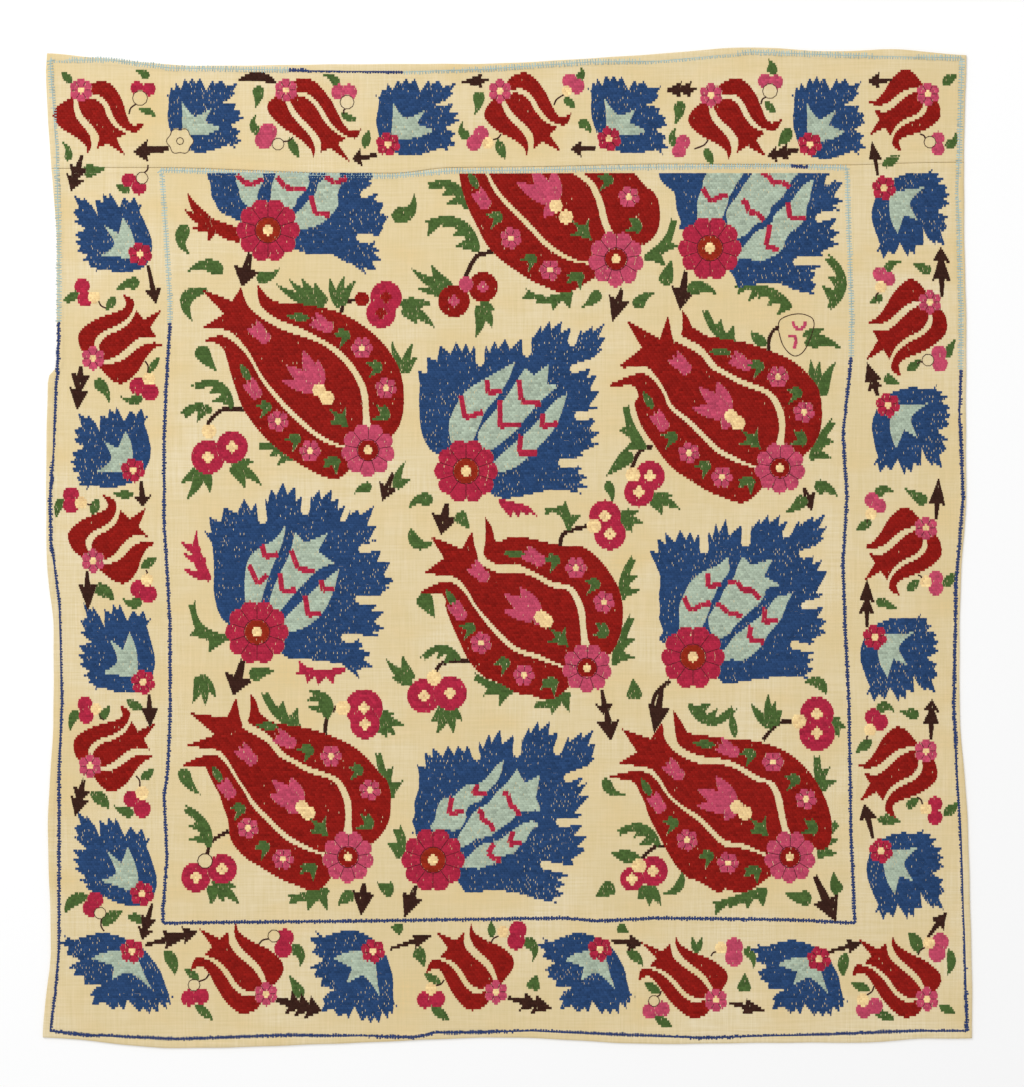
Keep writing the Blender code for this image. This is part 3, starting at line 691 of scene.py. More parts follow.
class ClothSizes(bpy.types.PropertyGroup):
    """Sizes of the linen and its stitches"""
    linen_thickness: bpy.props.FloatProperty(
        name="Linen thickness", description="Linen and embroidery, pressed flat",
        default=1.5 * MM, unit="LENGTH")
    hem_width: bpy.props.FloatProperty(
        name="Hem width", description="Width of the turned hem", default=6 * MM, unit="LENGTH")
    hem_rise: bpy.props.FloatProperty(
        name="Hem rise", description="How far the hem stands above the face",
        default=0.7 * MM, unit="LENGTH")
    seam_rise: bpy.props.FloatProperty(
        name="Seam rise", description="How far the joined edges stand above the face",
        default=0.4 * MM, unit="LENGTH")
    cell: bpy.props.FloatProperty(
        name="Mesh cell", description="Cell of the linen mesh", default=8 * MM, unit="LENGTH")
    row_pitch: bpy.props.FloatProperty(
        name="Row pitch", description="Distance between two rows of darning",
        default=2.45 * MM, unit="LENGTH")
    stitch_length: bpy.props.FloatProperty(
        name="Stitch length", description="Usual length of a darning stitch",
        default=4.4 * MM, unit="LENGTH")
    stitch_height: bpy.props.FloatProperty(
        name="Stitch height", description="How far a silk stitch stands above the linen",
        default=0.42 * MM, unit="LENGTH")
    seed: bpy.props.IntProperty(
        name="Seed", description="Start of the random draws of the needlework", default=11)


class ClothColours(bpy.types.PropertyGroup):
    """Colours of the linen and the floor"""
    linen: bpy.props.FloatVectorProperty(
        name="Linen", description="Middle tone of the linen", subtype="COLOR",
        default=linear_colour(224, 203, 158), min=0, max=1)
    linen_pale: bpy.props.FloatVectorProperty(
        name="Pale linen", description="Washed parts of the linen", subtype="COLOR",
        default=linear_colour(235, 221, 190), min=0, max=1)
    linen_warm: bpy.props.FloatVectorProperty(
        name="Warm linen", description="Yellowed parts of the linen", subtype="COLOR",
        default=linear_colour(226, 197, 140), min=0, max=1)
    floor: bpy.props.FloatVectorProperty(
        name="Floor", description="Studio floor", subtype="COLOR",
        default=(0.96, 0.96, 0.96), min=0, max=1)


def line_value(points, place):
    """Value at a place of the smooth line through (place, value) points, never past its points."""
    places = [point[0] for point in points]
    if place <= places[0]:
        return points[0][1]
    if place >= places[-1]:
        return points[-1][1]
    after = next(i for i, known in enumerate(places) if known > place)
    before = after - 1
    step = places[after] - places[before]
    share = (place - places[before]) / step
    rise = points[after][1] - points[before][1]
    start_slope, end_slope = slope_at(points, before), slope_at(points, after)
    return (points[before][1]
            + rise * share * share * (3 - 2 * share)
            + start_slope * step * share * (1 - share) ** 2
            - end_slope * step * share * share * (1 - share))


def slope_at(points, index):
    """Slope of the smooth line at a point, level where the line turns back."""
    if index in (0, len(points) - 1):
        return 0.0
    (x0, y0), (x1, y1), (x2, y2) = points[index - 1:index + 2]
    left, right = (y1 - y0) / (x1 - x0), (y2 - y1) / (x2 - x1)
    if left * right <= 0:
        return 0.0
    return 2 * left * right / (left + right)


def level_line(points):
    """An edge that runs across, as a function from x to y in metres."""
    rows = [(point.x * MM, point.y * MM) for point in points]
    return lambda x: line_value(rows, x)


def upright_line(points):
    """An edge that runs up the cloth, as a function from y to x in metres."""
    rows = [(point.y * MM, point.x * MM) for point in points]
    return lambda y: line_value(rows, y)


def cockle_height(x, y):
    """How far the cockles lift the face at a place."""
    lift = 0.0
    for wave in COCKLES:
        turned = math.radians(wave.turned_degrees)
        along = x * math.cos(turned) + y * math.sin(turned)
        lift += wave.height * (1 + math.sin(math.tau * along / wave.wave_length + wave.shift)) / 2
    return lift


def rim_rise(distance, rise, hem):
    """Extra height at a distance from an edge: rolled at the rim, full on the hem, then a slope."""
    if distance < ROLLED_RIM:
        return rise * 0.1 - RIM_DROP
    if distance < RIM_SHOULDER:
        return rise * 0.8
    if distance <= hem:
        return rise
    return rise * max(0.0, 1 - (distance - hem) / RIM_SHOULDER)


def face_height(x, y, edges):
    """Height of the linen's face at a place, with its hems and the seam."""
    sizes = bpy.context.scene.cloth_sizes
    left, right, bottom, top, seam = edges
    rise = max(
        rim_rise(min(x - left(y), right(y) - x), sizes.hem_rise, sizes.hem_width),
        rim_rise(min(y - bottom(x), top(x) - y), sizes.hem_rise, sizes.hem_width),
        rim_rise(abs(y - seam(x)), sizes.seam_rise, sizes.hem_width))
    return sizes.linen_thickness + cockle_height(x, y) + rise


def cloth_edges():
    """Left, right, bottom and top edge, and the seam."""
    return (upright_line(LEFT_EDGE), upright_line(RIGHT_EDGE), level_line(BOTTOM_EDGE),
            level_line(TOP_EDGE), level_line(SEAM_LINE))


def on_cloth(x, y):
    """A place of the layout as metres on the cloth."""
    return ((x - MIDDLE_COLUMN) * STEP, (MIDDLE_ROW - y) * STEP)


# Outlines

def through(points, closed, steps=5):
    """Smooth line through points, with more of them between each pair."""
    count = len(points)
    if count < 3 and not closed:
        return list(points)
    spans = count if closed else count - 1

    def point(index):
        return points[index % count] if closed else points[min(max(index, 0), count - 1)]

    line = []
    for index in range(spans):
        p0, p1, p2, p3 = (point(index + k) for k in (-1, 0, 1, 2))
        near = math.dist(p1, p2)
        before = min(1.0, near / max(math.dist(p0, p1), 0.001))
        after = min(1.0, near / max(math.dist(p2, p3), 0.001))
        for step in range(steps):
            t = step / steps
            h1, h2 = t * (1 - t) ** 2, t * t * (1 - t)
            ease = t * t * (3 - 2 * t)
            line.append(tuple(
                p1[k] + (p2[k] - p1[k]) * ease
                + h1 * (p2[k] - p0[k]) * 0.5 * (0.5 + 0.5 * before)
                - h2 * (p3[k] - p1[k]) * 0.5 * (0.5 + 0.5 * after)
                for k in (0, 1)))
    if not closed:
        line.append(points[-1])
    return line


def drawn(shape):
    """Closed outline through the knots of a shape."""
    corners = [index for index, knot in enumerate(shape) if knot.sharp]
    points = [(knot.x, knot.y) for knot in shape]
    if not corners:
        return through(points, closed=True)
    turned = points[corners[0]:] + points[:corners[0]] + [points[corners[0]]]
    stops = [index - corners[0] for index in corners] + [len(points)]
    line = []
    for start, end in zip(stops, stops[1:]):
        line += through(turned[start:end + 1], closed=False)[:-1]
    return line


def serrated(lobes, base, depth, notch_width=0.0):
    """Outline of a flower whose lobes end in teeth, with valleys of that depth between the tips."""
    line = []
    for number, lobe in enumerate(lobes):
        for index, tip in enumerate(lobe.tips):
            line.append(tip)
            if index + 1 < len(lobe.tips):
                after = lobe.tips[index + 1]
                middle = tuple(0.45 * tip[k] + 0.55 * after[k] for k in (0, 1))
                wide = min(1.0, math.dist(tip, after) / 14)
                reach = 1 - depth * (0.6 + 0.5 * wide) / math.hypot(*middle)
                line.append(tuple(reach * value for value in middle))
        if number + 1 < len(lobes):
            line += round_notch(lobe.tips[-1], lobe.notch, lobes[number + 1].tips[0], notch_width)
        else:
            line.append(lobe.notch)
    return line + through([(knot.x, knot.y) for knot in base], closed=False)


def round_notch(before, deepest, after, width):
    """Bay between two lobes: straight sides and a round end at its deepest place."""
    if not width:
        return [deepest]
    mouth = tuple((before[k] + after[k]) / 2 for k in (0, 1))
    reach = math.dist(mouth, deepest)
    ux, uy = (mouth[0] - deepest[0]) / reach, (mouth[1] - deepest[1]) / reach
    half = min(width, math.dist(before, after)) / 2
    bay = []
    for out, side in ((0.72, -1.0), (0.0, -1.0), (-0.7, -0.7), (-1.0, 0.0), (-0.7, 0.7),
                      (0.0, 1.0), (0.72, 1.0)):
        along = half + (out * half if out <= 0 else out * (reach - half))
        bay.append((deepest[0] + ux * along + uy * half * side * -1,
                    deepest[1] + uy * along + ux * half * side))
    if math.dist(bay[0], before) > math.dist(bay[-1], before):
        bay.reverse()
    return bay


def placed(points, placing, axis):
    """Points of a motif, stretched along and across its axis, turned and moved to the layout."""
    lean = math.radians(axis)
    turn = math.radians(placing.turn)
    line = []
    for x, y in points:
        across = -x * math.sin(lean) + y * math.cos(lean)
        along = (x * math.cos(lean) + y * math.sin(lean)) * placing.along + across * placing.lean
        across *= placing.across
        dx = along * math.cos(lean + turn) - across * math.sin(lean + turn)
        dy = along * math.sin(lean + turn) + across * math.cos(lean + turn)
        line.append((placing.x + placing.shift_x + dx, placing.y + placing.shift_y - dy))
    return line


def disc(x, y, radius, sides=16):
    """Outline of a round patch."""
    return [(x + radius * math.cos(math.tau * k / sides),
             y + radius * math.sin(math.tau * k / sides)) for k in range(sides)]


def ribbon(points, width):
    """Outline of a line with a width."""
    line = through(list(points), closed=False)
    left, right = [], []
    for index, (x, y) in enumerate(line):
        x0, y0 = line[max(index - 1, 0)]
        x1, y1 = line[min(index + 1, len(line) - 1)]
        size = math.hypot(x1 - x0, y1 - y0) or 1.0
        nx, ny = -(y1 - y0) / size, (x1 - x0) / size
        left.append((x + nx * width / 2, y + ny * width / 2))
        right.append((x - nx * width / 2, y - ny * width / 2))
    return left + right[::-1]


def bent_strip(leaf, profile, teeth=0):
    """Outline along a bent middle line from head to tail, with teeth on one side."""
    dx, dy = leaf.tail_x - leaf.head_x, leaf.tail_y - leaf.head_y
    left, right = [], []
    count = 14
    for index in range(count + 1):
        t = index / count
        sag = leaf.bend * 4 * t * (1 - t)
        x, y = leaf.head_x + dx * t + dy * sag, leaf.head_y + dy * t - dx * sag
        slope = leaf.bend * 4 * (1 - 2 * t)
        ax, ay = dx + dy * slope, dy - dx * slope
        size = math.hypot(ax, ay)
        nx, ny = ay / size, -ax / size
        half = profile(t) * leaf.width / 2
        left.append((x + nx * half, y + ny * half))
        right.append((x - nx * half, y - ny * half))
    if teeth > 0:
        left = tooth_row(left, teeth, leaf.width * 0.95)
    if teeth < 0:
        right = tooth_row(right, -teeth, -leaf.width * 0.95)
    return left + right[::-1]


def tooth_row(side, teeth, depth):
    """Teeth that stand on a side and lean to its far end; a depth below zero turns them round."""
    count = len(side) - 1
    line = [side[0]]
    for tooth in range(teeth):
        low = side[round(count * (tooth + 0.12) / (teeth + 0.2))]
        high = side[min(count, round(count * (tooth + 0.9) / (teeth + 0.2)))]
        dx, dy = high[0] - low[0], high[1] - low[1]
        size = math.hypot(dx, dy) or 1.0
        reach = depth * (0.75 + 0.4 * math.sin(2.2 * tooth + 1))
        tip = (high[0] + dy / size * reach, high[1] - dx / size * reach)
        line += [low, tip, high]
    return line + [side[-1]]


def comma_profile(t):
    """Half width of a comma: a round head, then a taper to the tail."""
    head = 0.24
    if t < head:
        return math.sqrt(max(0.0, 1 - ((head - t) / head) ** 2))
    return 1 - ((t - head) / (1 - head)) ** 1.25


def leaf_profile(t):
    """Half width of a leaf with two points, widest before its middle."""
    return math.sin(math.pi * t ** 0.8) ** 0.85


def comb_profile(t):
    """Half width of the strip that a row of teeth stands on."""
    return 0.9 * math.sin(math.pi * min(1.0, t * 0.92 + 0.06) ** 0.7)


def arrow_outline(arrow):
    """Stem with pairs of barbs along it; past the last pair it runs straight to the tip."""
    dx, dy = arrow.tip_x - arrow.tail_x, arrow.tip_y - arrow.tail_y
    size = math.hypot(dx, dy)
    ux, uy = dx / size, dy / size
    one_side, other_side = [(0.0, 0.08)], [(0.0, -0.08)]
    for barb in filter(None, (arrow.first, arrow.second, arrow.third)):
        one_side += [(barb + 0.02, 0.16), (barb - 0.03, 0.5)]
        other_side += [(barb + 0.02, -0.16), (barb + 0.01, -0.5)]
    shape = one_side + [(1.0, 0.0)] + other_side[::-1]
    return [(arrow.tail_x + ux * along * size - uy * out * arrow.width,
             arrow.tail_y + uy * along * size + ux * out * arrow.width) for along, out in shape]


class Drawing:
    """Patches of thread in the order they are drawn, and thin dark lines sewn over them."""

    def __init__(self):
        self.patches = []
        self.lines = []

    def fill(self, thread, outline, top=-1.0, zone="field"):
        self.patches.append((thread, outline, top, zone))

    def line(self, points, width, top=-1.0):
        if min(y for x, y in points) > top:
            self.lines.append((points, width))

    def ring(self, outline, width, top=-1.0):
        self.line(outline + outline[:1], width, top)


def add_rosette(drawing, x, y, radius, petals, thread, heart, turn, zone, top=-1.0):
    """Round petals about a heart, with dark lines between them and a cream dot."""
    petal = radius * (0.30 if petals > 7 else 0.40)
    ring = radius - petal
    for index in range(petals):
        angle = math.tau * index / petals + turn
        px, py = x + ring * math.cos(angle), y + ring * math.sin(angle)
        drawing.fill(thread, disc(px, py, petal), top, zone)
        edge = angle + math.pi / petals
        inner, outer = (0.42, 0.84) if heart else (0.35, 0.75)
        drawing.line([
            (x + radius * share * math.cos(edge), y + radius * share * math.sin(edge))
            for share in (inner, outer)], 0.7, top)
    drawing.fill(thread, disc(x, y, ring), top, zone)
    if heart:
        drawing.fill(heart, disc(x, y, radius * 0.39), top, zone)
        drawing.ring(disc(x, y, radius * 0.41), 0.8, top)
    dot = radius * 0.16 if heart else max(2.6, radius * 0.28)
    drawing.fill("cream", disc(x, y, dot), top, zone)


def sewn_as(points, spot, anchors):
    """Points of a drawn motif where that sewing of it has them, by its anchors."""
    line = []
    for x, y in points:
        weight = dx = dy = 0.0
        for anchor in anchors:
            ax, ay = anchor.drawn
            bx, by = getattr(anchor, spot.sewing)
            near = 1 / ((x - ax) ** 2 + (y - ay) ** 2 + 12) ** 1.7
            weight += near
            dx += near * (bx - ax)
            dy += near * (by - ay)
        line.append((spot.x + x + dx / weight, spot.y - y - dy / weight))
    return line


def sewn_place(part, spot):
    """Place of a motif's part in that sewing of it."""
    x, y = getattr(part, spot.sewing)
    return spot.x + x, spot.y - y


def add_tulip(drawing, tulip, top):
    """A big tulip: three red petals with a sprig of small flowers along each, and its rosette."""
    for petal in (TULIP_UPPER, TULIP_CENTRE, TULIP_LOWER):
        drawing.fill("red", sewn_as(drawn(petal), tulip, TULIP_ANCHORS), top)
    for sprig in TULIP_SPRIGS:
        add_sprig(drawing, sprig, *sewn_place(sprig, tulip), top)
    heart = {part.part: sewn_place(part, tulip) for part in TULIP_HEART}
    for tip, width in (("left tip", 14), ("right tip", 15), ("middle tip", 15), ("bottom", 12)):
        petal = Leaf("leaf", *heart["joint"], *heart[tip], width)
        drawing.fill("mauve", bent_strip(petal, leaf_profile), top)
    drawing.fill("cream", disc(*heart["far calyx"], 7, sides=8), top)
    drawing.fill("cream", disc(*heart["calyx"], 7.5, sides=8), top)
    x0, y0 = heart["leaf"]
    drawing.fill("green", [(x0 + dx, y0 - dy) for dx, dy in drawn(THREE_POINT_LEAF)], top)
    add_rosette(drawing, tulip.x, tulip.y, tulip.radius, 9, "mauve", "red", 0.2, "field", top)


def add_sprig(drawing, sprig, x, y, top):
    """A small flower, bud or leaf on a petal of the big tulip."""
    turn = math.radians(sprig.turn)
    ux, uy = math.cos(turn) * sprig.size / 2, -math.sin(turn) * sprig.size / 2
    if sprig.kind == "flower":
        add_rosette(drawing, x, y, sprig.size, 6, "mauve", None, turn, "field", top)
    elif sprig.kind == "bud":
        body = Leaf("leaf", x - ux, y - uy, x + ux, y + uy, 13)
        drawing.fill("mauve", bent_strip(body, comma_profile), top)
        for spread in (-0.5, 0.5):
            tip = (x + 1.1 * (ux * math.cos(spread) - uy * math.sin(spread)),
                   y + 1.1 * (ux * math.sin(spread) + uy * math.cos(spread)))
            side = Leaf("leaf", x - ux * 0.6, y - uy * 0.6, *tip, 8)
            drawing.fill("mauve", bent_strip(side, leaf_profile), top)
    else:
        width, teeth = (8, 0) if sprig.kind == "leaf" else (10, 2)
        body = Leaf("leaf", x - ux, y - uy, x + ux, y + uy, width)
        drawing.fill("green", bent_strip(body, leaf_profile, teeth), top)


def add_spray(drawing, spray):
    """Pointed leaves that fan out from one base."""
    for tip in spray.tips:
        leaf = Leaf("leaf", *spray.base, *tip, spray.width, 0.08)
        drawing.fill(spray.thread, bent_strip(leaf, spray_profile))


def spray_profile(t):
    """Half width of a spray's leaf, already wide at its base."""
    return math.sin(math.pi * (0.12 + 0.88 * t) ** 0.6) ** 0.9


def add_blue_flower(drawing, flower, body, aqua, anchors, top=-1.0):
    """A big serrated flower: blue body, aqua tulip with crimson marks, and its rosette."""
    drawing.fill("blue", sewn_as(body, flower, anchors), top)
    for petal in aqua:
        drawing.fill("aqua", sewn_as(drawn(petal), flower, anchors), top)
    for mark in flower.marks:
        line = [(flower.x + x, flower.y - y) for x, y in mark]
        for start, end in zip(line, line[1:]):
            drawing.fill("crimson", ribbon((start, end), 5.2), top)
    add_rosette(drawing, flower.x - 1, flower.y + 1, 32, 10, "crimson", "rust", 0.0, "field", top)


def add_fruit(drawing, fruit):
    """Two joined round lobes with a cross on each, and a calyx."""
    fill = drawing.fill
    lobes = ((fruit.x1, fruit.y1, fruit.r1), (fruit.x2, fruit.y2, fruit.r2))
    for x, y, radius in lobes:
        fill(fruit.thread, disc(x, y, radius, sides=20))
    mark = {"red": "red", "mauve": "mauve"}.get(fruit.calyx, "cream")
    for x, y, radius in lobes:
        for dx, dy in ((-3.2, 0), (3.2, 0), (0, -3.2), (0, 3.2)):
            fill(mark, disc(x + dx, y + dy, 2.9, sides=8))
    calyx = disc(fruit.calyx_x, fruit.calyx_y, 7.5, sides=10)
    fill(fruit.calyx, calyx)
    if fruit.calyx == "linen":
        drawing.ring(calyx, 0.9)


def add_unsewn_fruit(drawing):
    """The fruit of which only the outline and two marks were sewn."""
    drawing.ring(drawn(UNSEWN_FRUIT), 0.9)
    for mark in UNSEWN_MARKS:
        drawing.fill("mauve", ribbon(mark, 3.2))


def add_bud(drawing, bud):
    """A two-lobed bud of the border, with its calyx and thin stem."""
    for x, y in ((bud.x1, bud.y1), (bud.x2, bud.y2)):
        drawing.fill(bud.thread, disc(x, y, bud.radius), zone="border")
    calyx = disc(bud.calyx_x, bud.calyx_y, bud.size, sides=10)
    drawing.fill("cream" if bud.calyx == "cream" else "linen", calyx, zone="border")
    if bud.calyx == "bare":
        drawing.ring(calyx, 0.7)
    dx, dy = bud.stem_x - bud.calyx_x, bud.stem_y - bud.calyx_y
    start = bud.size / math.hypot(dx, dy)
    stem = through([(bud.calyx_x + dx * start, bud.calyx_y + dy * start),
                    (bud.calyx_x + dx * 0.7 - dy * 0.1, bud.calyx_y + dy * 0.7 + dx * 0.1),
                    (bud.stem_x, bud.stem_y)], closed=False)
    drawing.line(stem, 1.5)


def add_bare_rosette(drawing, x, y, radius):
    """A rosette left unsewn: its lobed outline, with a small ring in the middle."""
    lobed = []
    for turn in (math.tau * k / 48 for k in range(48)):
        reach = radius * (1 + 0.08 * math.cos(6 * turn))
        lobed.append((x + reach * math.cos(turn), y + reach * math.sin(turn)))
    drawing.fill("linen", lobed, zone="border")
    drawing.ring(lobed, 0.7)
    drawing.ring(disc(x, y, 3.6, sides=8), 0.7)


def add_leaf(drawing, leaf, zone):
    profile = {"comma": comma_profile, "leaf": leaf_profile, "comb": comb_profile}[leaf.kind]
    drawing.fill(leaf.thread, bent_strip(leaf, profile, leaf.teeth), zone=zone)


def field_drawing(drawing):
    """Everything inside the inner frame."""
    for stem in STEMS:
        drawing.fill("brown", ribbon(stem.points, stem.width))
    for arrow in ARROWS:
        inside = (FIELD_COLUMNS[0] < arrow.tail_x < FIELD_COLUMNS[1]
                  and FIELD_ROWS[0] < arrow.tail_y < FIELD_ROWS[1])
        zone = "field" if inside else "border"
        drawing.fill("brown", arrow_outline(arrow), zone=zone)
    for leaf in FIELD_LEAVES:
        add_leaf(drawing, leaf, "field")
    for spray in SPRAYS:
        add_spray(drawing, spray)
    for sprig in TOOTHED_SPRIGS:
        drawing.fill("crimson", drawn(sprig))
    square = serrated(SQUARE_LOBES, SQUARE_BASE, 10, 9.0)
    for flower in SQUARE_BLUES:
        add_blue_flower(drawing, flower, square, SQUARE_AQUA, SQUARE_ANCHORS, FRAME_TOP)
    fan = serrated(FAN_LOBES, FAN_BASE, 10, 9.0)
    for flower in FAN_BLUES:
        add_blue_flower(drawing, flower, fan, FAN_AQUA, FAN_ANCHORS, FRAME_TOP)
    for tulip in BIG_TULIPS:
        add_tulip(drawing, tulip, FRAME_TOP)
    add_unsewn_fruit(drawing)
    for fruit in FRUITS:
        add_fruit(drawing, fruit)


def border_drawing(drawing):
    """The flowers that run round between the frames."""
    for leaf in BORDER_LEAVES:
        add_leaf(drawing, leaf, "border")
    for placing in SMALL_BLUES:
        body = serrated(SMALL_BLUE_LOBES, SMALL_BLUE_BASE, 6.5)
        drawing.fill("blue", placed(body, placing, 135), zone="border")
        drawing.fill("aqua", placed(drawn(SMALL_AQUA), placing, 135), zone="border")
        if placing is SMALL_BLUES[0]:
            add_bare_rosette(drawing, placing.x, placing.y, 12.5)
        else:
            add_rosette(drawing, placing.x, placing.y, 12.5, 6, "crimson", None, 0.3, "border")
    for placing in SMALL_TULIPS:
        for petal in (SMALL_TULIP_UPPER, SMALL_TULIP_CENTRE, SMALL_TULIP_LOWER):
            drawing.fill("red", placed(drawn(petal), placing, 45), zone="border")
        add_rosette(drawing, placing.x, placing.y, 12, 6, "mauve", None, 0.5, "border")
    for bud in BUDS:
        add_bud(drawing, bud)


# Rows of darning

def row_crossings(outline, pitch):
    """For each row that crosses a closed outline, the places where it does, from left to right."""
    crossings = {}
    for (x0, y0), (x1, y1) in zip(outline, outline[1:] + outline[:1]):
        if y0 == y1:
            continue
        low, high = (y0, y1) if y0 < y1 else (y1, y0)
        for row in range(math.ceil(low / pitch - 0.5), math.ceil(high / pitch - 0.5)):
            y = (row + 0.5) * pitch
            crossings.setdefault(row, []).append(x0 + (x1 - x0) * (y - y0) / (y1 - y0))
    return {row: sorted(places) for row, places in crossings.items()}


def carve(spans, start, end):
    """Spans of a row without the part from start to end."""
    kept = []
    for left, right, thread, zone in spans:
        if right <= start or left >= end:
            kept.append((left, right, thread, zone))
            continue
        if left < start:
            kept.append((left, start, thread, zone))
        if right > end:
            kept.append((end, right, thread, zone))
    return kept


def darned_rows(drawing, pitch):
    """Rows of the layout: what thread is where, after each patch has covered those before it."""
    rows = {}
    for thread, outline, top, zone in drawing.patches:
        for row, places in row_crossings(outline, pitch).items():
            if (row + 0.5) * pitch < top:
                continue
            for start, end in zip(places[::2], places[1::2]):
                if end - start < SHORTEST_STITCH:
                    continue
                spans = carve(rows.get(row, []), start, end)
                if thread != "linen":
                    spans.append((start, end, thread, zone))
                rows[row] = spans
    return rows


Stitch = namedtuple("Stitch", "x y length width turn shade lift")


def darning(rows, pitch, length, draw):
    """Stitches of every thread in every zone, laid along the rows like bricks."""
    share_open = {thread.name: thread.fleck for thread in THREADS}
    cover = {thread.name: thread.cover for thread in THREADS}
    stitches = {}
    for row in sorted(rows):
        phase = (row * BRICK_SHIFT) % 1.0
        tone = draw.gauss(0, 0.05)
        for start, end, thread, zone in sorted(rows[row]):
            if end - start < SHORTEST_RUN:
                continue
            start += draw.uniform(-0.3, 0.3)
            end += draw.uniform(-0.3, 0.3)
            first = math.ceil(start / length - phase + 0.3)
            last = math.floor(end / length - phase - 0.3)
            cuts = [(k + phase + draw.uniform(-0.16, 0.16)) * length
                    for k in range(first, last + 1)]
            edges = [start] + [cut for cut in cuts if start + 1 < cut < end - 1] + [end]
            for left, right in zip(edges, edges[1:]):
                if right != end:
                    worn = 1 + math.sin(right / 23 + row / 5) * math.sin(row / 9 - right / 31)
                    opened = draw.random() < share_open[thread] * worn
                    right += -draw.uniform(0.2, 0.6) if opened else 0.12
                if right - left < SHORTEST_STITCH:
                    continue
                x, y = on_cloth((left + right) / 2, (row + 0.5) * pitch + draw.gauss(0, 0.07))
                stitches.setdefault((thread, zone), []).append(Stitch(
                    x, y, (right - left) * STEP, pitch * STEP * cover[thread],
                    draw.gauss(0, 0.012), 0.5 + tone + draw.gauss(0, 0.22),
                    draw.uniform(0, 0.05) * MM))
    return stitches


def sewn_line(points, width, length, draw, lift):
    """Running stitches along a line of the layout."""
    stitches = []
    for (x0, y0), (x1, y1) in zip(points, points[1:]):
        size = math.dist((x0, y0), (x1, y1))
        if size < 0.2:
            continue
        count = max(1, round(size / length))
        turn = -math.atan2(y1 - y0, x1 - x0)
        for index in range(count):
            share = (index + 0.5) / count
            x, y = on_cloth(x0 + (x1 - x0) * share, y0 + (y1 - y0) * share)
            stitches.append(Stitch(
                x, y, size / count * STEP * 1.12, width * STEP * draw.uniform(0.85, 1.15),
                turn + draw.gauss(0, 0.04), 0.5 + draw.gauss(0, 0.15), lift))
    return stitches


def frame_stitches(points, draw):
    """Stitches of a frame: a comb of short ones across the line, and one thread along it."""
    sewn = {"navy": [], "pale": []}
    closed = points + points[:1]
    for start, end in zip(closed, closed[1:]):
        size = math.dist(start[:2], end[:2])
        turn = -math.atan2(end.y - start.y, end.x - start.x)
        bold = start.tone == "navy"
        count = max(1, round(size / FRAME_PITCH))
        for index in range(count):
            share = (index + 0.5 + draw.uniform(-0.12, 0.12)) / count
            side = draw.gauss(0, 0.25)
            cx = start.x + (end.x - start.x) * share + math.sin(turn) * side
            cy = start.y + (end.y - start.y) * share + math.cos(turn) * side
            x, y = on_cloth(cx, cy)
            long = draw.uniform(3.0, 4.6) if bold else draw.uniform(4.8, 6.2)
            wide = draw.uniform(1.9, 2.5) if bold else draw.uniform(1.0, 1.4)
            sewn[start.tone].append(Stitch(
                x, y, long * STEP, wide * STEP, turn + math.pi / 2 + draw.gauss(0, 0.12),
                0.5 + draw.gauss(0, 0.2), 0.0))
        sewn[start.tone] += sewn_line([start[:2], end[:2]], 1.7 if bold else 0.9, CORD_PITCH, draw,
                                      CORD_LIFT)
    return sewn


# Materials

def new_material(name):
    material = bpy.data.materials.new(name)
    material.use_nodes = True
    tree = material.node_tree
    shader = tree.nodes["Principled BSDF"]
    return material, tree, shader


def set_up(item, **values):
    """Settings of a node, light or lens by their names."""
    for name, value in values.items():
        setattr(item, name, value)


def feed(tree, socket, value):
    """Link a socket to another one, or set its own value."""
    if isinstance(value, bpy.types.NodeSocket):
        tree.links.new(value, socket)
    else:
        socket.default_value = value


def set_inputs(tree, node, **inputs):
    """Feed a node's inputs by their names."""
    for name, value in inputs.items():
        feed(tree, node.inputs[name.replace("_", " ")], value)


def named(tree, kind, **inputs):
    """First output of a new node, with its inputs fed by their names."""
    node = tree.nodes.new(kind)
    set_inputs(tree, node, **inputs)
    return node.outputs[0]


def made(tree, kind, *values, output=0, **settings):
    """An output of a new node with these settings, and its inputs fed in order where not None."""
    node = tree.nodes.new(kind)
    set_up(node, **settings)
    for socket, value in zip(node.inputs, values):
        if value is not None:
            feed(tree, socket, value)
    return node.outputs[output]


def blended(tree, factor, first, second):
    """A colour between two, by a factor socket."""
    mix = tree.nodes.new("ShaderNodeMix")
    mix.data_type = "RGBA"
    feed(tree, mix.inputs[0], factor)
    for socket, colour in ((mix.inputs[6], first), (mix.inputs[7], second)):
        is_socket = isinstance(colour, bpy.types.NodeSocket)
        feed(tree, socket, colour if is_socket else (*colour[:3], 1.0))
    return mix.outputs[2]


def spread_noise(tree, coordinates, scale, stretch, low, high, detail=3.0):
    """Noise stretched along an axis, brought to a 0 to 1 range between low and high."""
    mapping = named(tree, "ShaderNodeMapping", Vector=coordinates, Scale=stretch)
    noise = named(tree, "ShaderNodeTexNoise", Vector=mapping, Scale=scale, Detail=detail,
                  Roughness=0.55)
    return named(tree, "ShaderNodeMapRange", Value=noise, From_Min=low, From_Max=high)


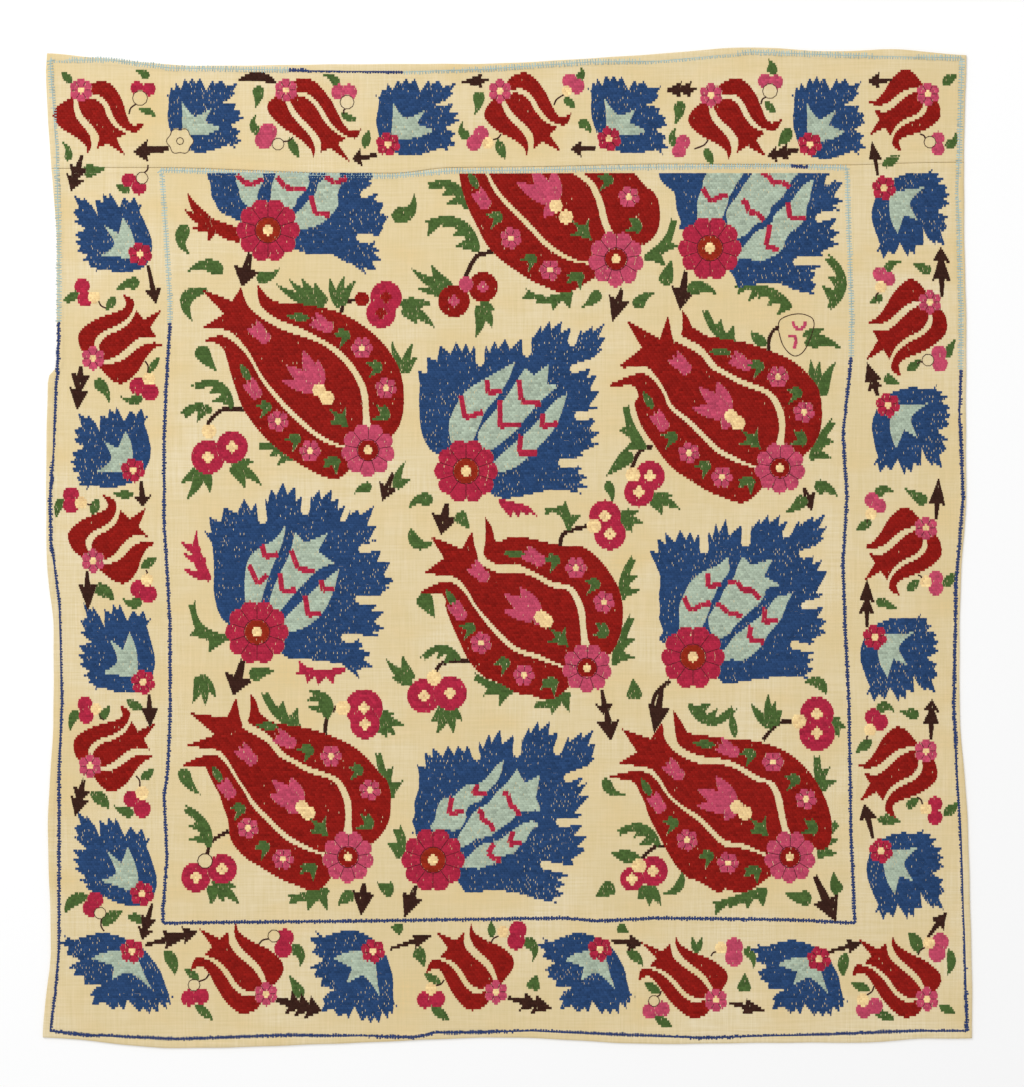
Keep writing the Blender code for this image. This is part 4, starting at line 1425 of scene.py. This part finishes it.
def linen_finish(name):
    """Plain-woven linen: slubs both ways, a fine weave, and yellowed and washed patches."""
    colours = bpy.context.scene.cloth_colours
    material, tree, shader = new_material(name)
    place = tree.nodes.new("ShaderNodeTexCoord").outputs["Object"]
    patches = spread_noise(tree, place, 5.0, (1, 1, 1), 0.35, 0.68, 4.0)
    warmth = spread_noise(tree, place, 11.0, (1, 1.6, 1), 0.45, 0.75, 3.0)
    tone = blended(tree, patches, colours.linen, colours.linen_pale)
    tone = blended(tree, warmth, tone, colours.linen_warm)
    weft = spread_noise(tree, place, 60.0, (0.35, 9.0, 1), 0.3, 0.7, 2.0)
    warp = spread_noise(tree, place, 60.0, (9.0, 0.35, 1), 0.3, 0.7, 2.0)
    both = made(tree, "ShaderNodeMath", weft, warp, operation="ADD")
    slubs = named(tree, "ShaderNodeMapRange", Value=both, From_Max=2.0)
    dark = tuple(value * 0.9 for value in colours.linen[:2]) + (colours.linen[2] * 0.82,)
    tone = blended(tree, slubs, tone, dark)
    ribs = []
    for turn in (0.0, math.pi / 2):
        turned = named(tree, "ShaderNodeMapping", Vector=place, Rotation=(0, 0, turn))
        wave = tree.nodes.new("ShaderNodeTexWave")
        set_inputs(tree, wave, Vector=turned, Scale=330.0, Distortion=1.5, Detail=1.0)
        ribs.append(wave.outputs[1])
    weave = made(tree, "ShaderNodeMath", *ribs, operation="MAXIMUM")
    rise = made(tree, "ShaderNodeMath", slubs, 1.4, weave, operation="MULTIPLY_ADD")
    bump = named(tree, "ShaderNodeBump", Height=rise, Strength=0.35, Distance=0.25 * MM)
    set_inputs(tree, shader, Base_Color=tone, Normal=bump, Roughness=0.85,
               Specular_IOR_Level=0.2, Sheen_Weight=0.08)
    return material


def silk_finish(thread):
    """Floss silk of one colour: each stitch has its own shade and a fine twist along it."""
    material, tree, shader = new_material("silk_" + thread.name)
    middle = linear_colour(thread.red, thread.green, thread.blue)
    shade = tree.nodes.new("ShaderNodeAttribute")
    shade.attribute_name = "shade"
    place = tree.nodes.new("ShaderNodeTexCoord").outputs["Object"]
    wear = spread_noise(tree, place, 14.0, (1, 1, 1), 0.3, 0.75, 3.0)
    deep = tuple(value * 0.68 for value in middle)
    light = tuple(min(1.0, value * 1.22 + 0.003) for value in middle)
    faded = tuple(min(1.0, value * 1.12 + 0.006) for value in middle)
    tone = blended(tree, shade.outputs["Fac"], deep, light)
    worn = named(tree, "ShaderNodeMapRange", Value=wear, To_Max=0.35)
    tone = blended(tree, worn, tone, faded)
    twist = spread_noise(tree, place, 900.0, (0.35, 1.0, 1.0), 0.25, 0.75, 1.0)
    bump = named(tree, "ShaderNodeBump", Height=twist, Strength=0.3, Distance=0.1 * MM)
    set_inputs(tree, shader, Base_Color=tone, Normal=bump, Roughness=0.6,
               Specular_IOR_Level=0.08)
    return material


def floor_finish():
    material, tree, shader = new_material("studio_floor")
    colour = bpy.context.scene.cloth_colours.floor
    place = tree.nodes.new("ShaderNodeTexCoord").outputs["Object"]
    cloud = spread_noise(tree, place, 0.7, (1, 1, 1), 0.3, 0.7, 1.0)
    tone = blended(tree, cloud, colour, tuple(value * 0.995 for value in colour))
    set_inputs(tree, shader, Base_Color=tone, Roughness=0.95, Specular_IOR_Level=0.1)
    return material


# Meshes

def new_object(name, mesh):
    piece = bpy.data.objects.new(name, mesh)
    bpy.context.scene.collection.objects.link(piece)
    return piece


def places_along(length, cell, near):
    """Places from 0 to length: close together by both ends, then even cells."""
    inner = max(1, round((length - 2 * near[-1]) / cell))
    middle = [near[-1] + (length - 2 * near[-1]) * k / inner for k in range(1, inner)]
    return list(near) + middle + [length - place for place in reversed(near)]


def linen_panel(name, lower, upper, lower_rise, upper_rise, draw):
    """One panel of linen with turned hems, its own low cockles and a slightly uneven edge."""
    sizes = bpy.context.scene.cloth_sizes
    left, right = upright_line(LEFT_EDGE), upright_line(RIGHT_EDGE)
    near = (0.0, 0.8 * MM, 2.4 * MM, sizes.hem_width * 0.75, sizes.hem_width,
            sizes.hem_width + 1.4 * MM, sizes.hem_width + 3 * MM)
    columns = places_along(right(0.0) - left(0.0), sizes.cell, near)
    rows = places_along(upper(0.0) - lower(0.0), sizes.cell, near)
    pull = [draw.uniform(0, math.tau) for _ in range(6)]

    def ripple(place, edge):
        """Small pulls of the hem's sewing along an edge."""
        return (0.35 * math.sin(place / 0.0097 + pull[edge])
                + 0.65 * math.sin(place / 0.041 + pull[edge + 1])) * PULL

    bm = bmesh.new()
    for top in (True, False):
        grid = []
        for row in rows:
            line = []
            for column in columns:
                across, up = column / columns[-1], row / rows[-1]
                near_x = (across - 0.5) * columns[-1]
                low, high = lower(near_x), upper(near_x)
                y = low + (high - low) * up
                x = left(y) + (right(y) - left(y)) * across
                edge_x = min(column, columns[-1] - column)
                side = max(0.0, 1 - edge_x / PULLED_STRIP)
                x += ripple(y, 0) * side * (1 if across < 0.5 else -1)
                outer = (up < 0.5 and lower_rise > sizes.seam_rise) or (
                    up > 0.5 and upper_rise > sizes.seam_rise)
                edge_y = min(row, rows[-1] - row)
                if outer:
                    y += ripple(x, 2) * max(0.0, 1 - edge_y / PULLED_STRIP)
                rise = max(rim_rise(edge_x, sizes.hem_rise, sizes.hem_width),
                           rim_rise(row, lower_rise, sizes.hem_width),
                           rim_rise(rows[-1] - row, upper_rise, sizes.hem_width))
                if edge_x < ROLLED_RIM or (outer and edge_y < ROLLED_RIM):
                    rise = sizes.hem_rise * 0.1 - RIM_DROP
                elif edge_y < ROLLED_RIM:
                    rise -= SEAM_DROP
                z = sizes.linen_thickness + cockle_height(x, y) + rise
                line.append(bm.verts.new((x, y, z if top else UNDERSIDE)))
            grid.append(line)
        for r in range(len(rows) - 1):
            for c in range(len(columns) - 1):
                corners = [grid[r][c], grid[r][c + 1], grid[r + 1][c + 1], grid[r + 1][c]]
                bm.faces.new(corners if top else corners[::-1])
        rim = (grid[0] + [line[-1] for line in grid[1:]] + grid[-1][-2::-1]
               + [line[0] for line in grid[-2:0:-1]])
        if top:
            top_rim = rim
    for index in range(len(rim)):
        after = (index + 1) % len(rim)
        bm.faces.new((rim[index], rim[after], top_rim[after], top_rim[index]))
    for face in bm.faces:
        face.smooth = True
    bmesh.ops.recalc_face_normals(bm, faces=bm.faces[:])
    mesh = bpy.data.meshes.new(name)
    bm.to_mesh(mesh)
    bm.free()
    piece = new_object(name, mesh)
    mesh.materials.append(linen_finish(name + "_weave"))
    return piece


def stitch_tree():
    """Geometry Nodes that put a low rounded stitch on every point, by the point's own values."""
    tree = bpy.data.node_groups.new("silk_stitches", "GeometryNodeTree")
    face = tree.interface
    face.new_socket("Geometry", in_out="INPUT", socket_type="NodeSocketGeometry")
    for name, default in (("Stitch Height", 0.4 * MM), ("Sunk Share", 0.25), ("Top Share", 0.5),
                          ("Height Jitter", 0.25)):
        socket = face.new_socket(name, in_out="INPUT", socket_type="NodeSocketFloat")
        socket.default_value = default
    face.new_socket("Seed", in_out="INPUT", socket_type="NodeSocketInt")
    face.new_socket("Thread", in_out="INPUT", socket_type="NodeSocketMaterial")
    face.new_socket("Geometry", in_out="OUTPUT", socket_type="NodeSocketGeometry")
    given = tree.nodes.new("NodeGroupInput").outputs
    result = tree.nodes.new("NodeGroupOutput").inputs[0]

    # A cube without its bottom, its top drawn in
    facing = made(tree, "ShaderNodeSeparateXYZ", made(tree, "GeometryNodeInputNormal"), output=2)
    below = made(tree, "FunctionNodeCompare", facing, -0.5, operation="LESS_THAN")
    cube = made(tree, "GeometryNodeMeshCube")
    bottomless = made(tree, "GeometryNodeDeleteGeometry", cube, below, domain="FACE")
    position = made(tree, "GeometryNodeInputPosition")
    level = made(tree, "ShaderNodeSeparateXYZ", position, output=2)
    upper = made(tree, "FunctionNodeCompare", level, 0.0, operation="GREATER_THAN")
    narrow = made(tree, "ShaderNodeCombineXYZ", 0.88, given["Top Share"], 1.0)
    tapered = made(tree, "ShaderNodeVectorMath", position, narrow, operation="MULTIPLY")
    shape = made(tree, "GeometryNodeSetPosition", bottomless, upper, tapered)
    stitch = made(tree, "GeometryNodeSetShadeSmooth", shape)

    # Its size and turn, from the point
    length, width, turn = (
        made(tree, "GeometryNodeInputNamedAttribute", "stitch_" + name, data_type="FLOAT")
        for name in ("length", "width", "turn"))
    jitter = tree.nodes.new("FunctionNodeRandomValue")
    jitter.data_type = "FLOAT"
    lowest = made(tree, "ShaderNodeMath", 1.0, given["Height Jitter"], operation="SUBTRACT")
    feed(tree, jitter.inputs[2], lowest)
    feed(tree, jitter.inputs[3], 1.0)
    feed(tree, jitter.inputs["Seed"], given["Seed"])
    tall = made(tree, "ShaderNodeMath", given["Stitch Height"], jitter.outputs[1],
                operation="MULTIPLY")
    scale = made(tree, "ShaderNodeCombineXYZ", length, width, tall)
    turned = made(tree, "FunctionNodeEulerToRotation",
                  made(tree, "ShaderNodeCombineXYZ", 0.0, 0.0, turn))
    put = made(tree, "GeometryNodeInstanceOnPoints", given["Geometry"], None, stitch, None, None,
               turned, scale)

    # Raised from its middle, then sunk a little into the linen
    above = made(tree, "ShaderNodeMath", given["Sunk Share"], -1.0, 0.5, operation="MULTIPLY_ADD")
    lift = made(tree, "ShaderNodeMath", above, given["Stitch Height"], operation="MULTIPLY")
    up = made(tree, "ShaderNodeCombineXYZ", 0.0, 0.0, lift)
    raised = made(tree, "GeometryNodeTranslateInstances", put, None, up, False)
    real = made(tree, "GeometryNodeRealizeInstances", raised)
    feed(tree, result, made(tree, "GeometryNodeSetMaterial", real, None, given["Thread"]))
    return tree


def sewn_piece(name, stitches, thread, height):
    """One piece of needlework: the stitches of one thread as a plain mesh."""
    tree = bpy.data.node_groups.get("silk_stitches") or stitch_tree()
    material = bpy.data.materials.get("silk_" + thread.name) or silk_finish(thread)
    edges = cloth_edges()
    points = bpy.data.meshes.new(name + "_points")
    points.from_pydata([
        (s.x, s.y, face_height(s.x, s.y, edges) + s.lift) for s in stitches], [], [])
    for field in ("length", "width", "turn", "shade"):
        label = field if field == "shade" else "stitch_" + field
        values = points.attributes.new(label, "FLOAT", "POINT")
        values.data.foreach_set("value", [getattr(s, field) for s in stitches])
    holder = new_object(name + "_holder", points)
    modifier = holder.modifiers.new("stitches", "NODES")
    modifier.node_group = tree
    chosen = {"Stitch Height": height, "Seed": bpy.context.scene.cloth_sizes.seed,
              "Thread": material}
    for item in tree.interface.items_tree:
        if item.item_type == "SOCKET" and item.in_out == "INPUT" and item.name in chosen:
            modifier[item.identifier] = chosen[item.name]
    holder.update_tag()
    depsgraph = bpy.context.evaluated_depsgraph_get()
    mesh = bpy.data.meshes.new_from_object(holder.evaluated_get(depsgraph))
    mesh.name = name
    bpy.data.objects.remove(holder, do_unlink=True)
    bpy.data.meshes.remove(points)
    piece = new_object(name, mesh)
    for label in ("stitch_length", "stitch_width", "stitch_turn"):
        if label in mesh.attributes:
            mesh.attributes.remove(mesh.attributes[label])
    return piece


def needlework():
    """All stitches of the cloth, by piece name and thread."""
    sizes = bpy.context.scene.cloth_sizes
    draw = random.Random(sizes.seed)
    drawing = Drawing()
    border_drawing(drawing)
    field_drawing(drawing)
    pitch, length = sizes.row_pitch / STEP, sizes.stitch_length / STEP
    sewn = {}
    for (thread, zone), stitches in darning(
            darned_rows(drawing, pitch), pitch, length, draw).items():
        sewn[(zone + "_" + thread, thread)] = stitches
    fine = []
    for points, width in drawing.lines:
        fine += sewn_line(points, width, FRAME_PITCH, draw, OUTLINE_LIFT)
    sewn[("petal_outlines", "dark")] = fine
    for label, points in (("outer_frame", OUTER_FRAME), ("inner_frame", INNER_FRAME)):
        for tone, stitches in frame_stitches(points, draw).items():
            sewn[(label + "_" + tone, tone)] = stitches
    return sewn


class CLOTH_OT_linen(bpy.types.Operator):
    """Make the two linen panels"""
    bl_idname = "cloth.make_linen"
    bl_label = "Linen panels"

    def execute(self, context):
        sizes = context.scene.cloth_sizes
        seam = level_line(SEAM_LINE)
        band = linen_panel("top_band_linen", lambda x: seam(x) + SEAM_GAP, level_line(TOP_EDGE),
                           sizes.seam_rise, sizes.hem_rise, random.Random(3))
        main = linen_panel("main_cloth_linen", level_line(BOTTOM_EDGE), lambda x: seam(x) - SEAM_GAP,
                           sizes.hem_rise, sizes.seam_rise, random.Random(5))
        for piece, node in ((band, "top_band"), (main, "main_cloth")):
            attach(piece, "root")
            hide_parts(node)
        return {"FINISHED"}


class CLOTH_OT_needlework(bpy.types.Operator):
    """Sew the darning, the fine outlines and the two frames"""
    bl_idname = "cloth.make_needlework"
    bl_label = "Silk needlework"

    def execute(self, context):
        height = context.scene.cloth_sizes.stitch_height
        threads = {thread.name: thread for thread in THREADS}
        for (name, thread), stitches in needlework().items():
            if not stitches:
                continue
            thin = thread in ("dark", "navy", "pale")
            piece = sewn_piece(name, stitches, threads[thread], height * (0.8 if thin else 1.0))
            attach(piece, "root")
        return {"FINISHED"}


class CLOTH_OT_stage(bpy.types.Operator):
    """Make the floor, the soft lights and the camera straight above the cloth"""
    bl_idname = "cloth.make_stage"
    bl_label = "Stage"

    def execute(self, context):
        scene = context.scene
        mesh = bpy.data.meshes.new("studio_floor")
        half = 6.0
        mesh.from_pydata([(-half, -half, 0), (half, -half, 0), (half, half, 0), (-half, half, 0)],
                         [], [(0, 1, 2, 3)])
        floor = new_object("studio_floor", mesh)
        mesh.materials.append(floor_finish())

        world = bpy.data.worlds.new("studio")
        world.use_nodes = True
        back = world.node_tree.nodes["Background"]
        set_inputs(world.node_tree, back, Color=(1.0, 1.0, 1.0, 1.0), Strength=0.80)
        scene.world = world

        light = bpy.data.lights.new("soft_key", "AREA")
        set_up(light, shape="DISK", size=1.6, energy=62.0)
        key = bpy.data.objects.new("soft_key", light)
        key.location = (-1.9, 2.3, 2.6)
        key.rotation_euler = (-key.location).to_track_quat("-Z", "Y").to_euler()
        scene.collection.objects.link(key)

        lens = bpy.data.cameras.new("overhead")
        set_up(lens, lens=85.0, sensor_width=36.0, sensor_fit="AUTO", clip_end=100.0)
        camera = bpy.data.objects.new("overhead", lens)
        camera.location = CAMERA_PLACE
        scene.collection.objects.link(camera)
        scene.camera = camera
        scene.view_settings.view_transform = "Standard"
        return {"FINISHED"}


class CLOTH_PT_sidebar(bpy.types.Panel):
    """Lists the operators and the settings of the cloth"""
    bl_label = "Wrapping cloth"
    bl_idname = "CLOTH_PT_sidebar"
    bl_space_type = "VIEW_3D"
    bl_region_type = "UI"
    bl_category = "Cloth"

    def draw(self, context):
        for operator in OPERATORS:
            self.layout.operator(operator.bl_idname)
        for group in (context.scene.cloth_sizes, context.scene.cloth_colours):
            box = self.layout.box()
            for name in group.__annotations__:
                box.prop(group, name)


OPERATORS = (CLOTH_OT_stage, CLOTH_OT_linen, CLOTH_OT_needlework)
CLASSES = (ClothSizes, ClothColours, *OPERATORS, CLOTH_PT_sidebar)


def register():
    for item in CLASSES:
        bpy.utils.register_class(item)
    bpy.types.Scene.cloth_sizes = bpy.props.PointerProperty(type=ClothSizes)
    bpy.types.Scene.cloth_colours = bpy.props.PointerProperty(type=ClothColours)


def unregister():
    del bpy.types.Scene.cloth_colours
    del bpy.types.Scene.cloth_sizes
    for item in reversed(CLASSES):
        bpy.utils.unregister_class(item)


def main():
    register()
    bpy.ops.cloth.make_stage()
    bpy.ops.cloth.make_linen()
    bpy.ops.cloth.make_needlework()
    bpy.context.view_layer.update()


if __name__ == "__main__":
    main()
